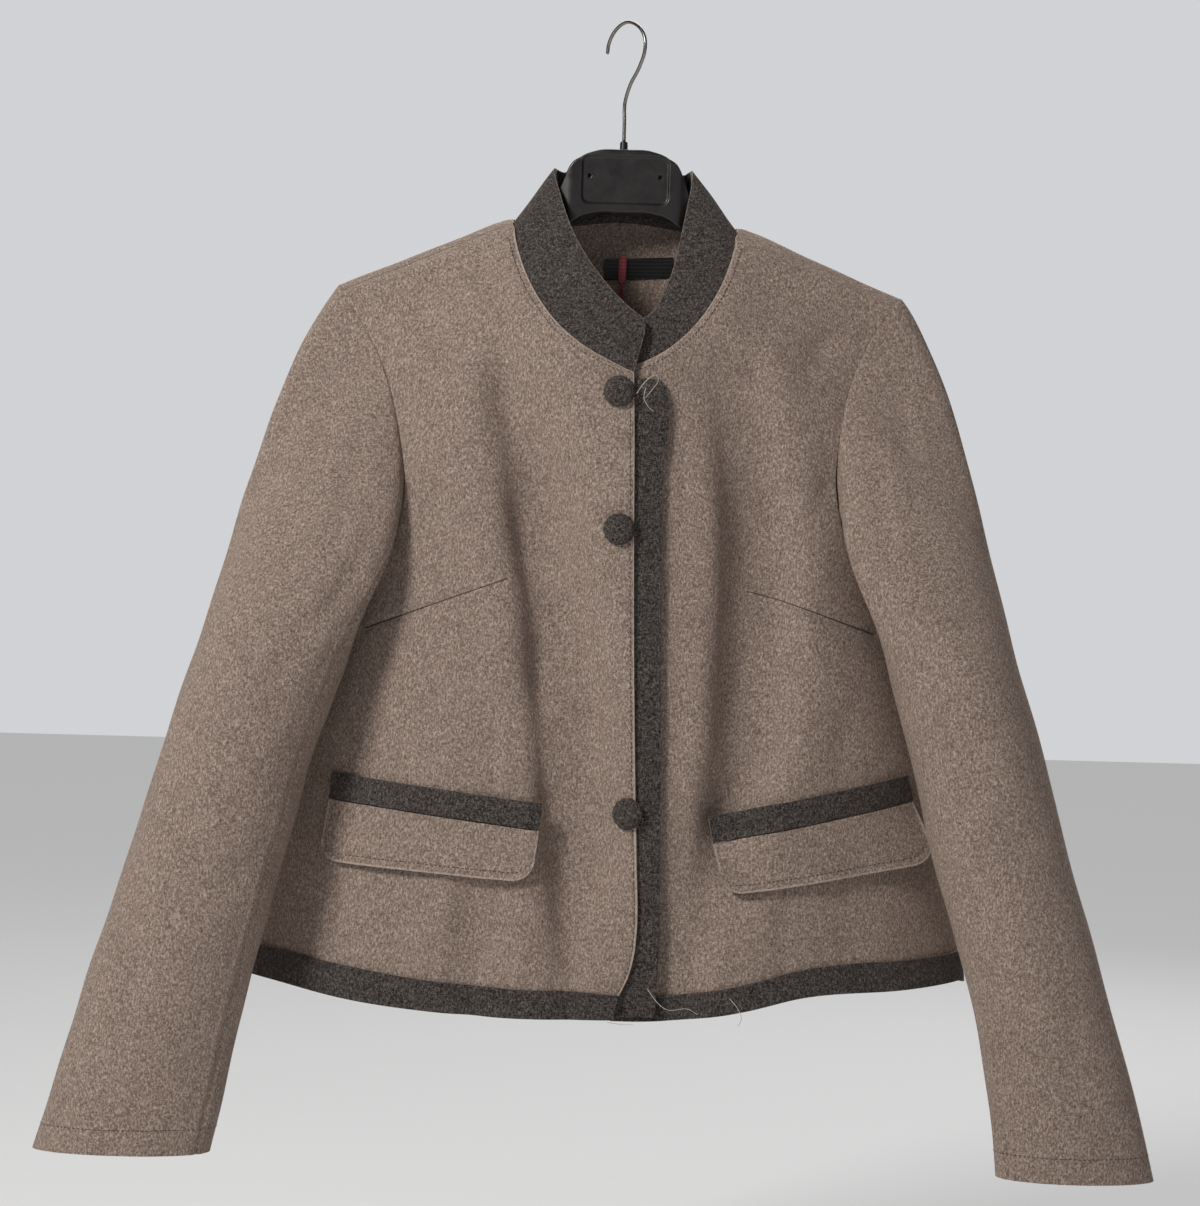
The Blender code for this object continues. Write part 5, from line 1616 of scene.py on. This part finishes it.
class JACKET_OT_small(bpy.types.Operator):
    """Make the buttons, the label, the ribbon and the loose threads"""

    bl_idname = "jacket.small_parts"
    bl_label = "Buttons and label"

    def execute(self, context):
        for name in BUTTONS:
            make_button(name)
        make_label()
        make_ribbon()
        make_threads()
        make_dart_seam_shade_cords()
        return {"FINISHED"}


class JACKET_OT_hanger(bpy.types.Operator):
    """Make the hanger, its ferrule and its hook"""

    bl_idname = "jacket.hanger"
    bl_label = "Hanger"

    def execute(self, context):
        make_hanger_body()
        make_hook()
        return {"FINISHED"}


FLOOR_HALF, FLOOR_Z = 9.0, -0.98
# Strength of the surroundings as light on the part, and as seen behind it.
SKY_LIGHT, SKY_SEEN = 0.13, 0.95
# Square area lights: place, the point they face, side, power in watts, colour.
LIGHTS = {
    "key": ((-1.55, -1.75, 1.05), (0.0, 0.0, -0.42), 0.6, 51, (1.0, 0.985, 0.96)),
    "fill": ((0.8, -2.6, 0.1), (0.0, 0.0, -0.45), 1.6, 3, (0.97, 0.98, 1.0)),
    "rear": ((0.9, 1.9, 0.7), (0.0, 0.0, -0.42), 1.4, 9, (1.0, 1.0, 1.0)),
}
# Broad light from above and in front: strength, angle across and tilt, both in degrees.
OVERHEAD_STRENGTH, OVERHEAD_ANGLE, OVERHEAD_TILT = 2.0, 60, -38
# Camera: place, roll in degrees, sensor height and focal length in mm.
CAMERA_AT, CAMERA_ROLL, SENSOR_HEIGHT, FOCAL_LENGTH = (-0.0086, -2.060, -0.4179), 1.5, 36.0, 36.0 * 2000 / 844.2


def make_floor():
    """A plain pale floor below the part."""
    half, low = FLOOR_HALF, FLOOR_Z
    mesh = bpy.data.meshes.new("studio_floor")
    mesh.from_pydata([(-half, -half, low), (half, -half, low), (half, half, low), (-half, half, low)], [], [range(4)])
    floor = linked("studio_floor", mesh)
    paint, _, shader = new_material("studio_paper_matt")
    shader.inputs["Base Color"].default_value = (*linear("#dcdcdc"), 1.0)
    shader.inputs["Roughness"].default_value = 0.9
    mesh.materials.append(paint)


def make_world():
    """Even pale surroundings, seen brighter than they light."""
    world = bpy.data.worlds.new("studio")
    world.use_nodes = True
    tree = world.node_tree
    sky = tree.nodes["Background"]
    sky.inputs["Color"].default_value = (*linear("#d6d7da"), 1.0)
    seen = add_node(tree, "ShaderNodeLightPath").outputs["Is Camera Ray"]
    tree.links.new(ranged(tree, seen, 0.0, 1.0, SKY_LIGHT, SKY_SEEN), sky.inputs["Strength"])
    bpy.context.scene.world = world


def make_lights():
    """The area lights, each turned to face its point, and the broad light from above."""
    for name, (at, aim, size, power, colour) in LIGHTS.items():
        lamp = bpy.data.lights.new(name, "AREA")
        lamp.energy, lamp.size, lamp.color = power, size, colour
        back = unit(np.array(at) - np.array(aim))
        across = unit(np.cross([0.0, 0.0, 1.0], back))
        turned = np.eye(4)
        turned[:3] = np.column_stack([across, np.cross(back, across), back, at])
        linked(name, lamp).matrix_world = Matrix(turned.tolist())
    lamp = bpy.data.lights.new("overhead", "SUN")
    lamp.energy, lamp.angle = OVERHEAD_STRENGTH, np.radians(OVERHEAD_ANGLE)
    linked("overhead", lamp).matrix_world = Matrix.Rotation(np.radians(OVERHEAD_TILT), 4, "X")


def make_camera():
    """The camera at the photograph's place: level, in front, and rolled a little."""
    lens = bpy.data.cameras.new("photo_camera")
    lens.sensor_fit, lens.sensor_height, lens.lens = "VERTICAL", SENSOR_HEIGHT, FOCAL_LENGTH
    camera = linked("photo_camera", lens)
    level = Matrix.Rotation(np.radians(90), 4, "X") @ Matrix.Rotation(np.radians(CAMERA_ROLL), 4, "Z")
    camera.matrix_world = Matrix.Translation(CAMERA_AT) @ level
    bpy.context.scene.camera = camera


class JACKET_OT_stage(bpy.types.Operator):
    """Make the floor, the lights and the camera"""

    bl_idname = "jacket.stage"
    bl_label = "Stage"

    def execute(self, context):
        make_floor()
        make_world()
        make_lights()
        make_camera()
        context.scene.view_settings.view_transform = "Standard"
        return {"FINISHED"}


STEPS = (
    JACKET_OT_fronts, JACKET_OT_back, JACKET_OT_sleeves, JACKET_OT_collar, JACKET_OT_bands, JACKET_OT_pockets,
    JACKET_OT_stitches, JACKET_OT_small, JACKET_OT_hanger, JACKET_OT_stage,
)


class JACKET_PT_panel(bpy.types.Panel):
    """Shows the measures, the colours and a button for each step."""

    bl_idname = "JACKET_PT_panel"
    bl_label = "Jacket"
    bl_space_type = "VIEW_3D"
    bl_region_type = "UI"
    bl_category = "Jacket"

    def draw(self, context):
        for group in (context.scene.jacket_cloth, context.scene.jacket_colours):
            for name in group.__annotations__:
                self.layout.prop(group, name)
        for step in STEPS:
            self.layout.operator(step.bl_idname)


CLASSES = (JacketCloth, JacketColours, *STEPS, JACKET_PT_panel)


def register():
    """Registers the classes and puts both groups on the scene."""
    for item in CLASSES:
        bpy.utils.register_class(item)
    bpy.types.Scene.jacket_cloth = PointerProperty(type=JacketCloth)
    bpy.types.Scene.jacket_colours = PointerProperty(type=JacketColours)


def unregister():
    """Takes away what register added."""
    del bpy.types.Scene.jacket_colours
    del bpy.types.Scene.jacket_cloth
    for item in reversed(CLASSES):
        bpy.utils.unregister_class(item)


def main():
    """Makes the whole scene."""
    register()
    bpy.ops.jacket.fronts()
    bpy.ops.jacket.back()
    bpy.ops.jacket.sleeves()
    bpy.ops.jacket.collar()
    bpy.ops.jacket.bands()
    bpy.ops.jacket.pockets()
    bpy.ops.jacket.stitches()
    bpy.ops.jacket.small_parts()
    bpy.ops.jacket.hanger()
    bpy.ops.jacket.stage()


if __name__ == "__main__":
    main()
